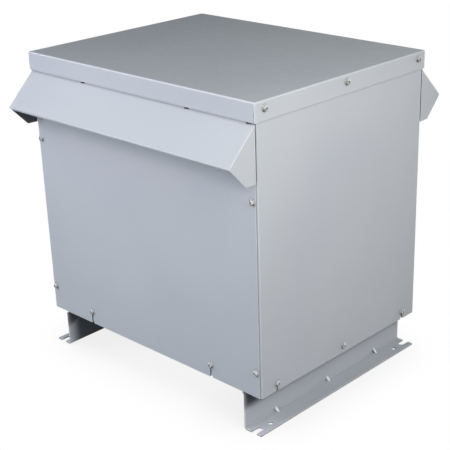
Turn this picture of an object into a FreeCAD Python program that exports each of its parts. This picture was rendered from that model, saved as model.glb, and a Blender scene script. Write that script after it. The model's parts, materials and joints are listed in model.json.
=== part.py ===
import FreeCAD
import Part
import math
import os

# Three-phase dry transformer in a ventilated floor-standing enclosure with weather shields.
# Millimetres. X runs along the front width, the front faces -Y, Z is up.
# The origin is on the floor at the middle of the footprint.

# Overall sizes
LID_WIDTH = 619.5
LID_DEPTH = 490.0
HEIGHT = 647.0

# Lid
LID_FLANGE = 36.0
LID_SHEET = 2.0
LID_EDGE_RADIUS = 3.0
LID_PLAY = 0.3
LID_SLIT_WIDTH = 0.9
LID_SLIT_HEIGHT = 19.0
LID_SCREW_INSET = 24.0
LID_SCREW_DROP = 14.0

# Panels
PANEL_SHEET = 2.0
PANEL_BEND = 1.5
PANEL_BOTTOM = 80.6
PANEL_EDGE_GAP = 3.6
RETURN_WIDTH = 25.0
SCREW_INSET = 11.5
FRONT_SCREW_RISE = 52.1
FRONT_SCREW_DROP = 143.4
BOTTOM_SCREW_X = 177.0
BOTTOM_SCREW_RISE = 26.7
SIDE_SCREW_INSET = 44.0
SIDE_SCREW_RISE = 15.9

# Air outlet behind each shield; its middle is this far below the edge of the lid
VENT_WIDTH = 6.0
VENT_HEIGHT = 62.0
VENT_PITCH = 14.0
VENT_MARGIN = 46.0
VENT_DROP = 49.0

# Weather shields; drops are measured down from the lower edge of the lid
HOOD_SHEET = 1.2
HOOD_BEND = 1.0
HOOD_SETBACK = 1.45
HOOD_FLANGE_LAP = 29.0
HOOD_APEX_DROP = 4.0
HOOD_LIP_DROP = 66.0
HOOD_REACH = 64.5
HOOD_LIP = 8.0
CHEEK_LOW_REACH = 24.0
CHEEK_LOW_DROP = 108.0
CHEEK_HEEL = 1.0
CHEEK_FLANGE = 16.0
CHEEK_FLANGE_TRIM = (4.0, 12.0)
HOOD_SCREW_DROPS = (89.0, 31.0)
NOTCH_X = 143.5
NOTCH_END_INSET = 13.3
NOTCH_WIDTH = 12.0
NOTCH_DROPS = (3.8, -1.5)
NOTCH_REACH = (12.0, 4.0)

# Crossbars under the lid
CROSSBAR_SHEET = 2.0
CROSSBAR_LEG = 30.0
CROSSBAR_SHELF = 22.0
CROSSBAR_END_GAP = 2.0

# Base rails
RAIL_SHEET = 3.0
RAIL_BEND = 3.0
RAIL_OVERHANG = 1.4
RAIL_INSET = 41.25
RAIL_FOOT = 40.0
RAIL_SHELF = 40.0
RAIL_SHELF_SETBACK = 14.0
RAIL_SLOT_OUT = 21.8
RAIL_SLOT_WIDTH = 14.0
RAIL_SLOT_DEPTH = 22.0
RAIL_HOLE_OUT = 23.3
RAIL_HOLE_INSET = 44.9
RAIL_HOLE_DIAMETER = 10.5
RAIL_WEB_HOLE_DIAMETER = 10.0
RAIL_WEB_HOLE_Z = 46.5
GUSSET_SPACING = 157.0
GUSSET_LEG = 4.0
GUSSET_WIDTH = 7.6

# Base pan and its screen
PAN_SHEET = 2.0
PAN_FLANGE = 36.0
PAN_SIDE_TRIM = 22.5
PAN_FRONT_TRIM = 4.5
PAN_EDGE_RADIUS = 1.5
PAN_RELIEF = 5.0
AIR_MARGIN_Y = 61.5
SCREEN_SHEET = 1.0
SCREEN_PLAY = 7.2
SCREEN_LAP = 14.0
SCREEN_SLOT_LENGTH = 44.0
SCREEN_SLOT_WIDTH = 10.0
SCREEN_PITCH_X = 50.0
SCREEN_PITCH_Y = 18.0

# Sheet-metal screws with a hexagon head and a washer face
SCREW_FLATS = 9.5
SCREW_HEX_HEIGHT = 3.6
SCREW_WASHER = 13.4
SCREW_WASHER_THICK = 1.3
SCREW_SHANK = 6.2
SCREW_LENGTH = 16.0
SCREW_CLEARANCE = 0.7
PILOT_CLEARANCE = 0.3

# Bolts and nuts
BOLT_CLEARANCE = 1.0
THREAD_CLEARANCE = 0.2
M8 = {"size": 8.0, "flats": 13.0, "head": 5.3, "nut": 6.5}
M10 = {"size": 10.0, "flats": 16.0, "head": 6.4, "nut": 8.0}
M5 = {"size": 5.0, "flats": 8.0, "head": 3.5}
BOLT_TAIL = 5.0
BASE_BOLT_INSET = 20.2
PAN_BOLT_INSET = 32.5

# Core
CORE_Y = 22.0
LIMB = 64.0
STACK = 90.0
PHASE_PITCH = 150.0
END_BOLT_MARGIN = 12.0

# Core supports and pads
SUPPORT_SHEET = 3.0
SUPPORT_BEND = 3.0
SUPPORT_TOP = 44.0
SUPPORT_HEIGHT = 40.0
SUPPORT_FOOT = 22.0
SUPPORT_END_GAP = 4.2
SUPPORT_BOLT_OFFSET = 34.0
PAD_THICK = 12.0
PAD_LENGTH = 60.0
PAD_WIDTH = 36.0
PAD_CORNER = 4.0

# Clamps
CLAMP_SHEET = 4.0
CLAMP_BEND = 4.0
CLAMP_REACH = 38.0
CLAMP_LIP = 2.0
CLAMP_END = 24.0

# Windings
TUBE_PLAY = 1.0
TUBE_END_PLAY = 1.0
TUBE_WALL = 2.0
LOW_BUILD = 12.0
DUCT = 8.0
HIGH_BUILD = 13.0
TUBE_CORNER = 4.0
COIL_END_GAP = 12.0
HIGH_END_MARGIN = 6.0
STICK_WIDTH = 8.0
STICK_LONG_X = 16.0
STICK_LONG_Y = 22.0
BLOCK_WIDTH = 14.0
BLOCK_X = 24.0
BLOCK_INSET = 1.0

# Terminals
HEAD_ROOM = 70.0
BUS_RISE = 68.4
POST_DIAMETER = 16.0
POST_LENGTH = 40.0
BOARD_THICK = 10.0
BOARD_WIDTH = 48.0
BOARD_END = 45.0
STUD_LENGTH = 46.0
STUD_TAIL = 12.0
BUS_WIDTH = 24.0
BUS_THICK = 4.0
BUS_BEND = 4.0
BUS_HOLE = 11.0
BUS_HOLE_DROPS = (45.0, 19.0)
NEUTRAL_OUT = 75.0
NEUTRAL_DROP = 14.0

# High-voltage leads; heights of the route are measured down from the top clamps
LEAD_DIAMETER = 8.0
LEAD_EXIT_X = 26.0
LEAD_EXIT_INSET = 22.0
LEAD_STAND_OFF = 38.0
LEAD_SWAY = 3.0
ROUTE_RISE = 70.0
ROUTE_MIDDLE_DROP = 106.0
ROUTE_HIGH_DROP = 40.0
ROUTE_TOP_RISE = 13.0
CROSSING_DROP = 34.0
CROSSING_OUT = 66.0
LUG_THICK = 2.5
LUG_RADIUS = 9.0
LUG_BARREL = 10.0
LUG_BARREL_START = 15.0
LUG_BARREL_END = 29.0
LUG_BARREL_RISE = 6.5
LUG_ANGLE = 30.0
LUG_RUN = 58.0
ARC_SHARE = 0.45

# Earthing
EARTH_BAR_LENGTH = 110.0
EARTH_BAR_THICK = 5.0
EARTH_BAR_HEIGHT = 20.0
EARTH_BAR_X = 80.0
EARTH_BAR_RISE = 17.4
EARTH_SCREW_PITCH = 26.4
EARTH_SCREW_COUNT = 4
STRAP_WIDTH = 18.0
STRAP_THICK = 1.5
STRAP_BEND = 2.0
STRAP_X = 90.0
STRAP_LAP = 4.0
STRAP_DROP_OUT = 6.0

# Cutters run this far past what they cut
PAST = 1.0
DEEP = 8.0

# Places that follow from the sizes above
LID_TOP_INSIDE = HEIGHT - LID_SHEET
LID_BOTTOM = HEIGHT - LID_FLANGE
LID_SCREW_Y = LID_DEPTH / 2 - LID_SCREW_INSET
SIDE_FACE = LID_WIDTH / 2 - LID_SHEET - LID_PLAY
SIDE_INSIDE = SIDE_FACE - PANEL_SHEET
FRONT_FACE = LID_DEPTH / 2 - LID_SHEET - LID_PLAY - HOOD_SHEET
PANEL_BACK = FRONT_FACE - PANEL_SHEET
RETURN_BACK = PANEL_BACK - PANEL_SHEET
PANEL_TOP = LID_TOP_INSIDE - (LID_EDGE_RADIUS - LID_SHEET)
PANEL_HALF = SIDE_FACE - PANEL_EDGE_GAP
SCREW_X = SIDE_FACE - SCREW_INSET
SIDE_SCREW_Y = FRONT_FACE - SIDE_SCREW_INSET
SLOT = SCREW_SHANK + SCREW_CLEARANCE
PILOT = SCREW_SHANK + PILOT_CLEARANCE
HOOD_HALF_WIDTH = SIDE_FACE - HOOD_SETBACK
HOOD_FLANGE_TOP = LID_BOTTOM + HOOD_FLANGE_LAP
HOOD_APEX_Z = LID_BOTTOM - HOOD_APEX_DROP
HOOD_LIP_Z = LID_BOTTOM - HOOD_LIP_DROP
CHEEK_LOW_Z = LID_BOTTOM - CHEEK_LOW_DROP
NOTCH_END_X = HOOD_HALF_WIDTH - NOTCH_END_INSET
RAIL_HALF_LENGTH = FRONT_FACE + RAIL_OVERHANG
RAIL_WEB_X = SIDE_FACE - RAIL_INSET
RAIL_WEB_BACK = RAIL_WEB_X - RAIL_SHEET
RAIL_SLOT_X = RAIL_WEB_X + RAIL_SLOT_OUT
RAIL_HOLE_X = RAIL_WEB_X + RAIL_HOLE_OUT
RAIL_HOLE_Y = RAIL_HALF_LENGTH - RAIL_HOLE_INSET
BASE_BOLT_X = RAIL_WEB_X - BASE_BOLT_INSET
PAN_BOLT_Y = RETURN_BACK - PAN_BOLT_INSET
PAN_TOP = PANEL_BOTTOM + PAN_SHEET
SCREEN_HALF_X = RAIL_WEB_X - RAIL_SHELF - SCREEN_PLAY
AIR_HALF_X = SCREEN_HALF_X - SCREEN_LAP
AIR_HALF_Y = RETURN_BACK - AIR_MARGIN_Y
SUPPORT_Z = PAN_TOP + SUPPORT_HEIGHT
SUPPORT_HALF_LENGTH = RAIL_WEB_X - SUPPORT_END_GAP
PAD_TOP = SUPPORT_Z + PAD_THICK
PAD_X = PHASE_PITCH
CLAMP_HEIGHT = LIMB + 2 * CLAMP_LIP
CORE_BOTTOM = PAD_TOP + CLAMP_LIP
WINDOW_BOTTOM = CORE_BOTTOM + LIMB
LOW_CLAMP_TOP = PAD_TOP + CLAMP_HEIGHT
BUS_TOP = LID_TOP_INSIDE - HEAD_ROOM
TOP_CLAMP_TOP = BUS_TOP - BUS_RISE
TOP_CLAMP_BOTTOM = TOP_CLAMP_TOP - CLAMP_HEIGHT
WINDOW_TOP = TOP_CLAMP_BOTTOM + CLAMP_LIP
CORE_TOP = WINDOW_TOP + LIMB
CORE_HALF_X = PHASE_PITCH + LIMB / 2
CORE_HALF_Y = STACK / 2
CLAMP_FACE = CORE_HALF_Y + CLAMP_SHEET
CLAMP_EDGE = CORE_HALF_Y + CLAMP_REACH
CLAMP_HALF = CORE_HALF_X + CLAMP_END
END_BOLT_X = CORE_HALF_X + END_BOLT_MARGIN
YOKE_BOLT_X = PHASE_PITCH / 2
COIL_BOTTOM = WINDOW_BOTTOM + COIL_END_GAP
COIL_TOP = WINDOW_TOP - COIL_END_GAP
TUBE_X = LIMB / 2 + TUBE_PLAY
TUBE_Y = CORE_HALF_Y + TUBE_PLAY
LOW_X = TUBE_X + TUBE_WALL
LOW_Y = TUBE_Y + TUBE_WALL
DUCT_X = LOW_X + LOW_BUILD
DUCT_Y = LOW_Y + LOW_BUILD
HIGH_X = DUCT_X + DUCT
HIGH_Y = DUCT_Y + DUCT
COIL_Y = HIGH_Y + HIGH_BUILD
COIL_FRONT = CORE_Y - COIL_Y
SUPPORT_Y = (CORE_HALF_Y + CLAMP_EDGE) / 2
STUD_Y = CORE_Y - SUPPORT_Y
HIGH_BOARD_Z = TOP_CLAMP_TOP + POST_LENGTH
HIGH_BOARD_TOP = HIGH_BOARD_Z + BOARD_THICK
HIGH_BOARD_HALF = PHASE_PITCH + BOARD_END
LOW_BOARD_Y = CLAMP_FACE + POST_LENGTH
BUS_Y = LOW_BOARD_Y + BOARD_THICK
BOARD_MIDDLE_Z = (TOP_CLAMP_BOTTOM + TOP_CLAMP_TOP) / 2
NEUTRAL_X = PHASE_PITCH + NEUTRAL_OUT
LOW_BOARD_HALF = NEUTRAL_X + BUS_WIDTH / 2
POST_X = [PHASE_PITCH * share for share in (-0.75, -0.25, 0.25, 0.75)]
LEAD_TOP_EXIT = COIL_TOP - HIGH_END_MARGIN - LEAD_EXIT_INSET
LEAD_LOW_EXIT = COIL_BOTTOM + HIGH_END_MARGIN + LEAD_EXIT_INSET
EARTH_BAR_Z = PANEL_BOTTOM + EARTH_BAR_RISE
PHASES = {"a": -PHASE_PITCH, "b": 0.0, "c": PHASE_PITCH}

X_AXIS = FreeCAD.Vector(1, 0, 0)
Y_AXIS = FreeCAD.Vector(0, 1, 0)
Z_AXIS = FreeCAD.Vector(0, 0, 1)


# Small makers

def box(x0, x1, y0, y1, z0, z1):
    return Part.makeBox(x1 - x0, y1 - y0, z1 - z0, FreeCAD.Vector(x0, y0, z0))


def rod(diameter, start, axis, length):
    return Part.makeCylinder(diameter / 2, length, FreeCAD.Vector(*start), axis)


def through(diameter, point, axis, reach=DEEP):
    """A round cutter centred on a point of a sheet."""
    centre = FreeCAD.Vector(*point)
    return Part.makeCylinder(diameter / 2, 2 * reach, centre - axis * reach, axis)


def join(shapes):
    shapes = list(shapes)
    return shapes[0].fuse(shapes[1:]).removeSplitter() if len(shapes) > 1 else shapes[0]


def cut(shape, tools):
    tools = list(tools)
    return shape.cut(tools) if tools else shape


def turned(shape, axis, angle):
    copy = shape.copy()
    copy.rotate(FreeCAD.Vector(0, 0, 0), axis, angle)
    return copy


def moved(shape, x=0.0, y=0.0, z=0.0):
    copy = shape.copy()
    copy.translate(FreeCAD.Vector(x, y, z))
    return copy


def rear_of(shape):
    """The same sheet part, turned half round about Z."""
    return turned(shape, Z_AXIS, 180)


def mirrored_x(shape):
    return shape.mirror(FreeCAD.Vector(0, 0, 0), X_AXIS)


def rear_clamp_side(shape):
    """Mirror front to rear about the middle plane of the core."""
    return shape.mirror(FreeCAD.Vector(0, CORE_Y, 0), Y_AXIS)


def group(shapes):
    return Part.makeCompound(list(shapes))


# Folded sheet: a path of one skin, thickened to one side, with round bends

def unit(a, b):
    length = math.hypot(b[0] - a[0], b[1] - a[1])
    return ((b[0] - a[0]) / length, (b[1] - a[1]) / length)


def lift(point, axis):
    u, v = point
    if axis == X_AXIS:
        return FreeCAD.Vector(0, u, v)
    if axis == Y_AXIS:
        return FreeCAD.Vector(u, 0, v)
    return FreeCAD.Vector(u, v, 0)


def rounded_edges(points, radii, axis):
    """Lines and arcs along a flat path; radii has one value for each inner point."""
    edges = []
    last = points[0]
    for i, radius in enumerate(radii, start=1):
        before = unit(points[i], points[i - 1])
        after = unit(points[i], points[i + 1])
        cosine = before[0] * after[0] + before[1] * after[1]
        half = math.acos(max(-1.0, min(1.0, cosine))) / 2
        setback = radius / math.tan(half)
        middle = unit((0, 0), (before[0] + after[0], before[1] + after[1]))
        gap = radius / math.sin(half) - radius
        start = (points[i][0] + before[0] * setback, points[i][1] + before[1] * setback)
        end = (points[i][0] + after[0] * setback, points[i][1] + after[1] * setback)
        top = (points[i][0] + middle[0] * gap, points[i][1] + middle[1] * gap)
        edges.append(Part.makeLine(lift(last, axis), lift(start, axis)))
        edges.append(Part.Arc(lift(start, axis), lift(top, axis), lift(end, axis)).toShape())
        last = end
    edges.append(Part.makeLine(lift(last, axis), lift(points[-1], axis)))
    return edges


def folded(points, sheet, bend, side, axis, start, length):
    """Sheet of even thickness along a path; side 1 thickens to the left of it, -1 to the right."""
    inner = []
    radii = []
    inner_radii = []
    for i, point in enumerate(points):
        first = unit(points[i - 1], point) if i > 0 else unit(point, points[i + 1])
        second = unit(point, points[i + 1]) if i < len(points) - 1 else first
        n1 = (-first[1] * side, first[0] * side)
        n2 = (-second[1] * side, second[0] * side)
        scale = sheet / (1 + n1[0] * n2[0] + n1[1] * n2[1])
        inner.append((point[0] + (n1[0] + n2[0]) * scale, point[1] + (n1[1] + n2[1]) * scale))
        if 0 < i < len(points) - 1:
            turn = first[0] * second[1] - first[1] * second[0]
            outside = turn * side > 0
            radii.append(bend + sheet if outside else bend)
            inner_radii.append(bend if outside else bend + sheet)
    edges = rounded_edges(points, radii, axis)
    edges.append(Part.makeLine(lift(points[-1], axis), lift(inner[-1], axis)))
    edges += rounded_edges(inner[::-1], inner_radii[::-1], axis)
    edges.append(Part.makeLine(lift(inner[0], axis), lift(points[0], axis)))
    face = Part.Face(Part.Wire(Part.__sortEdges__(edges)))
    body = face.extrude(axis * length)
    body.translate(axis * start)
    return body


def flat_plate(points, axis, start, thickness):
    corners = [lift(p, axis) for p in points]
    face = Part.Face(Part.makePolygon(corners + corners[:1]))
    body = face.extrude(axis * thickness)
    body.translate(axis * start)
    return body


def round_block(half_x, half_y, radius, z0, z1):
    block = box(-half_x, half_x, -half_y, half_y, z0, z1)
    upright = [e for e in block.Edges if e.BoundBox.ZLength > radius]
    return block.makeFillet(radius, upright)


def coil_ring(half_x, half_y, build, corner, z0, z1):
    """A wound ring of rounded rectangular section around a limb."""
    outer = round_block(half_x + build, half_y + build, corner + build, z0, z1)
    return outer.cut(round_block(half_x, half_y, corner, z0 - PAST, z1 + PAST))


# Fasteners, drawn with the seat of the head at the origin and the head towards +Z

def hexagon(flats, z0, height):
    radius = flats / math.sqrt(3)
    angles = [math.radians(60 * i + 30) for i in range(6)]
    corners = [(radius * math.cos(a), radius * math.sin(a)) for a in angles]
    return flat_plate(corners, Z_AXIS, z0, height)


def chamfered_hexagon(flats, z0, height, both=False):
    """Hexagon with its corners turned off by a cone, at the top or at both ends."""
    prism = hexagon(flats, z0, height)
    outer = flats / math.sqrt(3)
    rise = outer - flats / 2
    cone = Part.makeCone(outer + height - rise, flats / 2 - rise, height, FreeCAD.Vector(0, 0, z0))
    prism = prism.common(cone)
    if both:
        under = Part.makeCone(flats / 2 - rise, outer + height - rise, height, FreeCAD.Vector(0, 0, z0))
        prism = prism.common(under)
    return prism


def washer_screw():
    washer = rod(SCREW_WASHER, (0, 0, 0), Z_AXIS, SCREW_WASHER_THICK)
    head = chamfered_hexagon(SCREW_FLATS, SCREW_WASHER_THICK, SCREW_HEX_HEIGHT)
    shank = rod(SCREW_SHANK, (0, 0, -SCREW_LENGTH), Z_AXIS, SCREW_LENGTH)
    return join([washer, head, shank])


def bolt(size, length):
    head = chamfered_hexagon(size["flats"], 0, size["head"])
    return join([head, rod(size["size"], (0, 0, -length), Z_AXIS, length)])


def nut(size):
    """Nut that stands on the XY plane."""
    bore = through(size["size"] + THREAD_CLEARANCE, (0, 0, 0), Z_AXIS)
    return chamfered_hexagon(size["flats"], 0, size["nut"], both=True).cut(bore)


def placed(shape, point, direction):
    """Copy of a fastener at a point, its head towards a direction."""
    copy = shape.copy()
    turn = FreeCAD.Rotation(Z_AXIS, direction)
    copy.Placement = FreeCAD.Placement(FreeCAD.Vector(*point), turn)
    return copy


# Where the screws go

def side_column_points():
    heights = (PANEL_BOTTOM + FRONT_SCREW_RISE, LID_BOTTOM - FRONT_SCREW_DROP)
    return [(s * SCREW_X, z) for s in (-1, 1) for z in heights]


def bottom_row_points():
    return [(s * BOTTOM_SCREW_X, PANEL_BOTTOM + BOTTOM_SCREW_RISE) for s in (-1, 1)]


def hood_screw_points():
    return [(s * SCREW_X, LID_BOTTOM - drop) for s in (-1, 1) for drop in HOOD_SCREW_DROPS]


def side_screw_points():
    return [(y, PANEL_BOTTOM + SIDE_SCREW_RISE) for y in (-SIDE_SCREW_Y, 0.0, SIDE_SCREW_Y)]


def lid_screw_points():
    return [(y, HEIGHT - LID_SCREW_DROP) for y in (-LID_SCREW_Y, 0.0, LID_SCREW_Y)]


def notch_box(x, y):
    """Cutter for one notch at the top fold of a shield and for what lies behind it."""
    half = NOTCH_WIDTH / 2
    low, high = (LID_BOTTOM - drop for drop in NOTCH_DROPS)
    return box(x - half, x + half, y - NOTCH_REACH[0], y + NOTCH_REACH[1], low, high)


# Enclosure

def top_cover():
    outer = box(-LID_WIDTH / 2, LID_WIDTH / 2, -LID_DEPTH / 2, LID_DEPTH / 2, LID_BOTTOM, HEIGHT)
    kept = [e for e in outer.Edges if e.CenterOfMass.z > LID_BOTTOM + PAST]
    outer = outer.makeFillet(LID_EDGE_RADIUS, kept)
    half_x = LID_WIDTH / 2 - LID_SHEET
    half_y = LID_DEPTH / 2 - LID_SHEET
    low = LID_BOTTOM - LID_FLANGE
    inner = box(-half_x, half_x, -half_y, half_y, low, LID_TOP_INSIDE)
    kept = [e for e in inner.Edges if e.CenterOfMass.z > low + PAST]
    inner = inner.makeFillet(LID_EDGE_RADIUS - LID_SHEET, kept)
    tools = [inner]
    for sx in (-1, 1):
        edge = sx * half_x
        for sy in (-1, 1):
            x = sorted((edge, edge - sx * LID_SLIT_WIDTH))
            y = sorted((sy * (half_y - PAST), sy * (LID_DEPTH / 2 + PAST)))
            tools.append(box(*x, *y, LID_BOTTOM - PAST, LID_BOTTOM + LID_SLIT_HEIGHT))
        for y, z in lid_screw_points():
            tools.append(through(SLOT, (sx * LID_WIDTH / 2, y, z), X_AXIS))
    return cut(outer, tools)


def side_panel():
    """Right side panel: a face with a narrow return at the front and at the rear edge."""
    inner_x = SIDE_FACE - RETURN_WIDTH
    path = [(inner_x, -PANEL_BACK), (SIDE_FACE, -PANEL_BACK),
            (SIDE_FACE, PANEL_BACK), (inner_x, PANEL_BACK)]
    panel = folded(path, PANEL_SHEET, PANEL_BEND, 1, Z_AXIS, PANEL_BOTTOM, PANEL_TOP - PANEL_BOTTOM)
    tools = [through(PILOT, (SIDE_FACE, y, z), X_AXIS) for y, z in lid_screw_points()]
    for y, z in side_screw_points():
        tools.append(through(SLOT, (SIDE_FACE, y, z), X_AXIS))
        if y:
            tools.append(box(SIDE_FACE - DEEP, SIDE_FACE + DEEP, y - SLOT / 2, y + SLOT / 2,
                             PANEL_BOTTOM - PAST, z))
    for x, z in side_column_points() + hood_screw_points():
        if x > 0:
            tools += [through(PILOT, (x, y, z), Y_AXIS) for y in (-PANEL_BACK, PANEL_BACK)]
    tools.append(notch_box(NOTCH_END_X, -PANEL_BACK))
    return cut(panel, tools)


def front_panel():
    panel = box(-PANEL_HALF, PANEL_HALF, -FRONT_FACE, -PANEL_BACK, PANEL_BOTTOM, PANEL_TOP)
    front = -FRONT_FACE - DEEP
    back = -PANEL_BACK + DEEP
    points = side_column_points() + bottom_row_points() + hood_screw_points()
    tools = [through(SLOT, (x, -FRONT_FACE, z), Y_AXIS) for x, z in points]
    for x, z in bottom_row_points():
        tools.append(box(x - SLOT / 2, x + SLOT / 2, front, back, PANEL_BOTTOM - PAST, z))
    count = int((PANEL_HALF - VENT_MARGIN) / VENT_PITCH)
    low = LID_BOTTOM - VENT_DROP - VENT_HEIGHT / 2
    for i in range(-count, count + 1):
        x = i * VENT_PITCH
        tools.append(box(x - VENT_WIDTH / 2, x + VENT_WIDTH / 2, front, back, low, low + VENT_HEIGHT))
    tools += [notch_box(x, -FRONT_FACE) for x in (-NOTCH_X, NOTCH_X, NOTCH_END_X)]
    return cut(panel, tools)


def weather_shield():
    """Front shield: flange behind the lid, slope, turned lip, and a cheek at each end."""
    face = -FRONT_FACE
    tip = face - HOOD_REACH
    turn = HOOD_LIP * math.sqrt(0.5)
    path = [
        (face - HOOD_SHEET, HOOD_FLANGE_TOP),
        (face - HOOD_SHEET, HOOD_APEX_Z),
        (tip, HOOD_LIP_Z),
        (tip + turn, HOOD_LIP_Z - turn),
    ]
    cheek = [
        (face, HOOD_APEX_Z),
        (face - HOOD_SHEET, HOOD_APEX_Z),
        (tip + HOOD_BEND, HOOD_LIP_Z + HOOD_BEND),
        (tip + HOOD_BEND, HOOD_LIP_Z - HOOD_BEND),
        (face - CHEEK_LOW_REACH, CHEEK_LOW_Z),
        (face, CHEEK_LOW_Z - CHEEK_HEEL),
    ]
    pieces = [folded(path, HOOD_SHEET, HOOD_BEND, 1, X_AXIS, -HOOD_HALF_WIDTH, 2 * HOOD_HALF_WIDTH)]
    for start in (-HOOD_HALF_WIDTH, HOOD_HALF_WIDTH - HOOD_SHEET):
        pieces.append(flat_plate(cheek, X_AXIS, start, HOOD_SHEET))
    low = CHEEK_LOW_Z + CHEEK_FLANGE_TRIM[0]
    high = HOOD_APEX_Z - CHEEK_FLANGE_TRIM[1]
    for s in (-1, 1):
        x = sorted((s * HOOD_HALF_WIDTH, s * (HOOD_HALF_WIDTH - CHEEK_FLANGE)))
        pieces.append(box(*x, face - HOOD_SHEET, face, low, high))
    tools = [through(SLOT, (x, face, z), Y_AXIS) for x, z in hood_screw_points()]
    tools += [notch_box(x, face) for x in (-NOTCH_X, NOTCH_X, NOTCH_END_X)]
    relief_x = NOTCH_END_X + NOTCH_WIDTH / 2 - PAST
    relief_z = HOOD_APEX_Z + HOOD_BEND
    tools.append(box(relief_x, HOOD_HALF_WIDTH + PAST, face - 2 * HOOD_SHEET, face + PAST,
                     relief_z, HOOD_FLANGE_TOP + PAST))
    return cut(join(pieces), tools)


def crossbar():
    """Angle behind the front returns, welded to them, with its shelf under the lid."""
    path = [
        (-RETURN_BACK, LID_TOP_INSIDE - CROSSBAR_LEG),
        (-RETURN_BACK, LID_TOP_INSIDE),
        (-RETURN_BACK + CROSSBAR_SHELF, LID_TOP_INSIDE),
    ]
    half = SIDE_INSIDE - CROSSBAR_END_GAP
    return folded(path, CROSSBAR_SHEET, PANEL_BEND, -1, X_AXIS, -half, 2 * half)


def gusset(y):
    """Rounded stiffening rib across the lower bend of the rail."""
    x0 = RAIL_WEB_X
    z0 = RAIL_SHEET
    half = GUSSET_WIDTH / 2
    corner = [(x0 - PAST, z0 - PAST), (x0 + GUSSET_LEG, z0 - PAST), (x0 - PAST, z0 + GUSSET_LEG)]
    fill = flat_plate(corner, Y_AXIS, y - half, GUSSET_WIDTH)
    slant = FreeCAD.Vector(1, 0, -1).normalize()
    start = FreeCAD.Vector(x0, y, z0 + GUSSET_LEG) - slant * GUSSET_LEG
    ridge = Part.makeCylinder(half, 4 * GUSSET_LEG, start, slant)
    far = 3 * GUSSET_LEG
    room = box(x0 - PAST, x0 + far, y - half, y + half, z0 - PAST, z0 + far)
    return fill.fuse(ridge).common(room)


def base_rail():
    """Right rail: foot flange outwards, web under the body, shelf inwards under the pan."""
    shelf_under = PANEL_BOTTOM - RAIL_SHEET
    path = [
        (RAIL_WEB_X + RAIL_FOOT, 0),
        (RAIL_WEB_BACK, 0),
        (RAIL_WEB_BACK, shelf_under),
        (RAIL_WEB_X - RAIL_SHELF, shelf_under),
    ]
    rail = folded(path, RAIL_SHEET, RAIL_BEND, -1, Y_AXIS, -RAIL_HALF_LENGTH, 2 * RAIL_HALF_LENGTH)
    rail = join([rail] + [gusset(y) for y in (-GUSSET_SPACING, 0.0, GUSSET_SPACING)])
    tools = [through(RAIL_WEB_HOLE_DIAMETER, (RAIL_WEB_BACK, 0, RAIL_WEB_HOLE_Z), X_AXIS)]
    half = RAIL_SLOT_WIDTH / 2
    shelf_end = RAIL_HALF_LENGTH - RAIL_SHELF_SETBACK
    for s in (-1, 1):
        tools.append(through(RAIL_HOLE_DIAMETER, (RAIL_HOLE_X, s * RAIL_HOLE_Y, 0), Z_AXIS))
        end = s * (RAIL_HALF_LENGTH - RAIL_SLOT_DEPTH + half)
        y = sorted((end, s * (RAIL_HALF_LENGTH + PAST)))
        tools.append(through(RAIL_SLOT_WIDTH, (RAIL_SLOT_X, end, 0), Z_AXIS))
        tools.append(box(RAIL_SLOT_X - half, RAIL_SLOT_X + half, *y, -PAST, RAIL_SHEET + PAST))
        y = sorted((s * shelf_end, s * (RAIL_HALF_LENGTH + PAST)))
        tools.append(box(RAIL_WEB_X - RAIL_SHELF - PAST, RAIL_WEB_BACK - RAIL_BEND, *y,
                         shelf_under - PAST, PANEL_BOTTOM + PAST))
    hole = M8["size"] + BOLT_CLEARANCE
    tools += [through(hole, (x, y, PANEL_BOTTOM), Z_AXIS) for x, y in base_bolt_points() if x > 0]
    return cut(rail, tools)


def support_bolt_points():
    rows = [CORE_Y + s * SUPPORT_Y + t * SUPPORT_BOLT_OFFSET for s in (-1, 1) for t in (-1, 1)]
    return [(s * BASE_BOLT_X, y) for s in (-1, 1) for y in rows]


def corner_bolt_points():
    return [(s * BASE_BOLT_X, t * PAN_BOLT_Y) for s in (-1, 1) for t in (-1, 1)]


def base_bolt_points():
    """Support bolts and corner bolts, all through the pan and a rail."""
    return support_bolt_points() + corner_bolt_points()


def pan_floor():
    """Plate that ends where the bends of the four flanges start."""
    half_x = SIDE_INSIDE - PAN_SHEET - PAN_EDGE_RADIUS
    half_y = RETURN_BACK - PAN_SHEET - PAN_EDGE_RADIUS
    return box(-half_x, half_x, -half_y, half_y, PANEL_BOTTOM, PAN_TOP)


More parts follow.
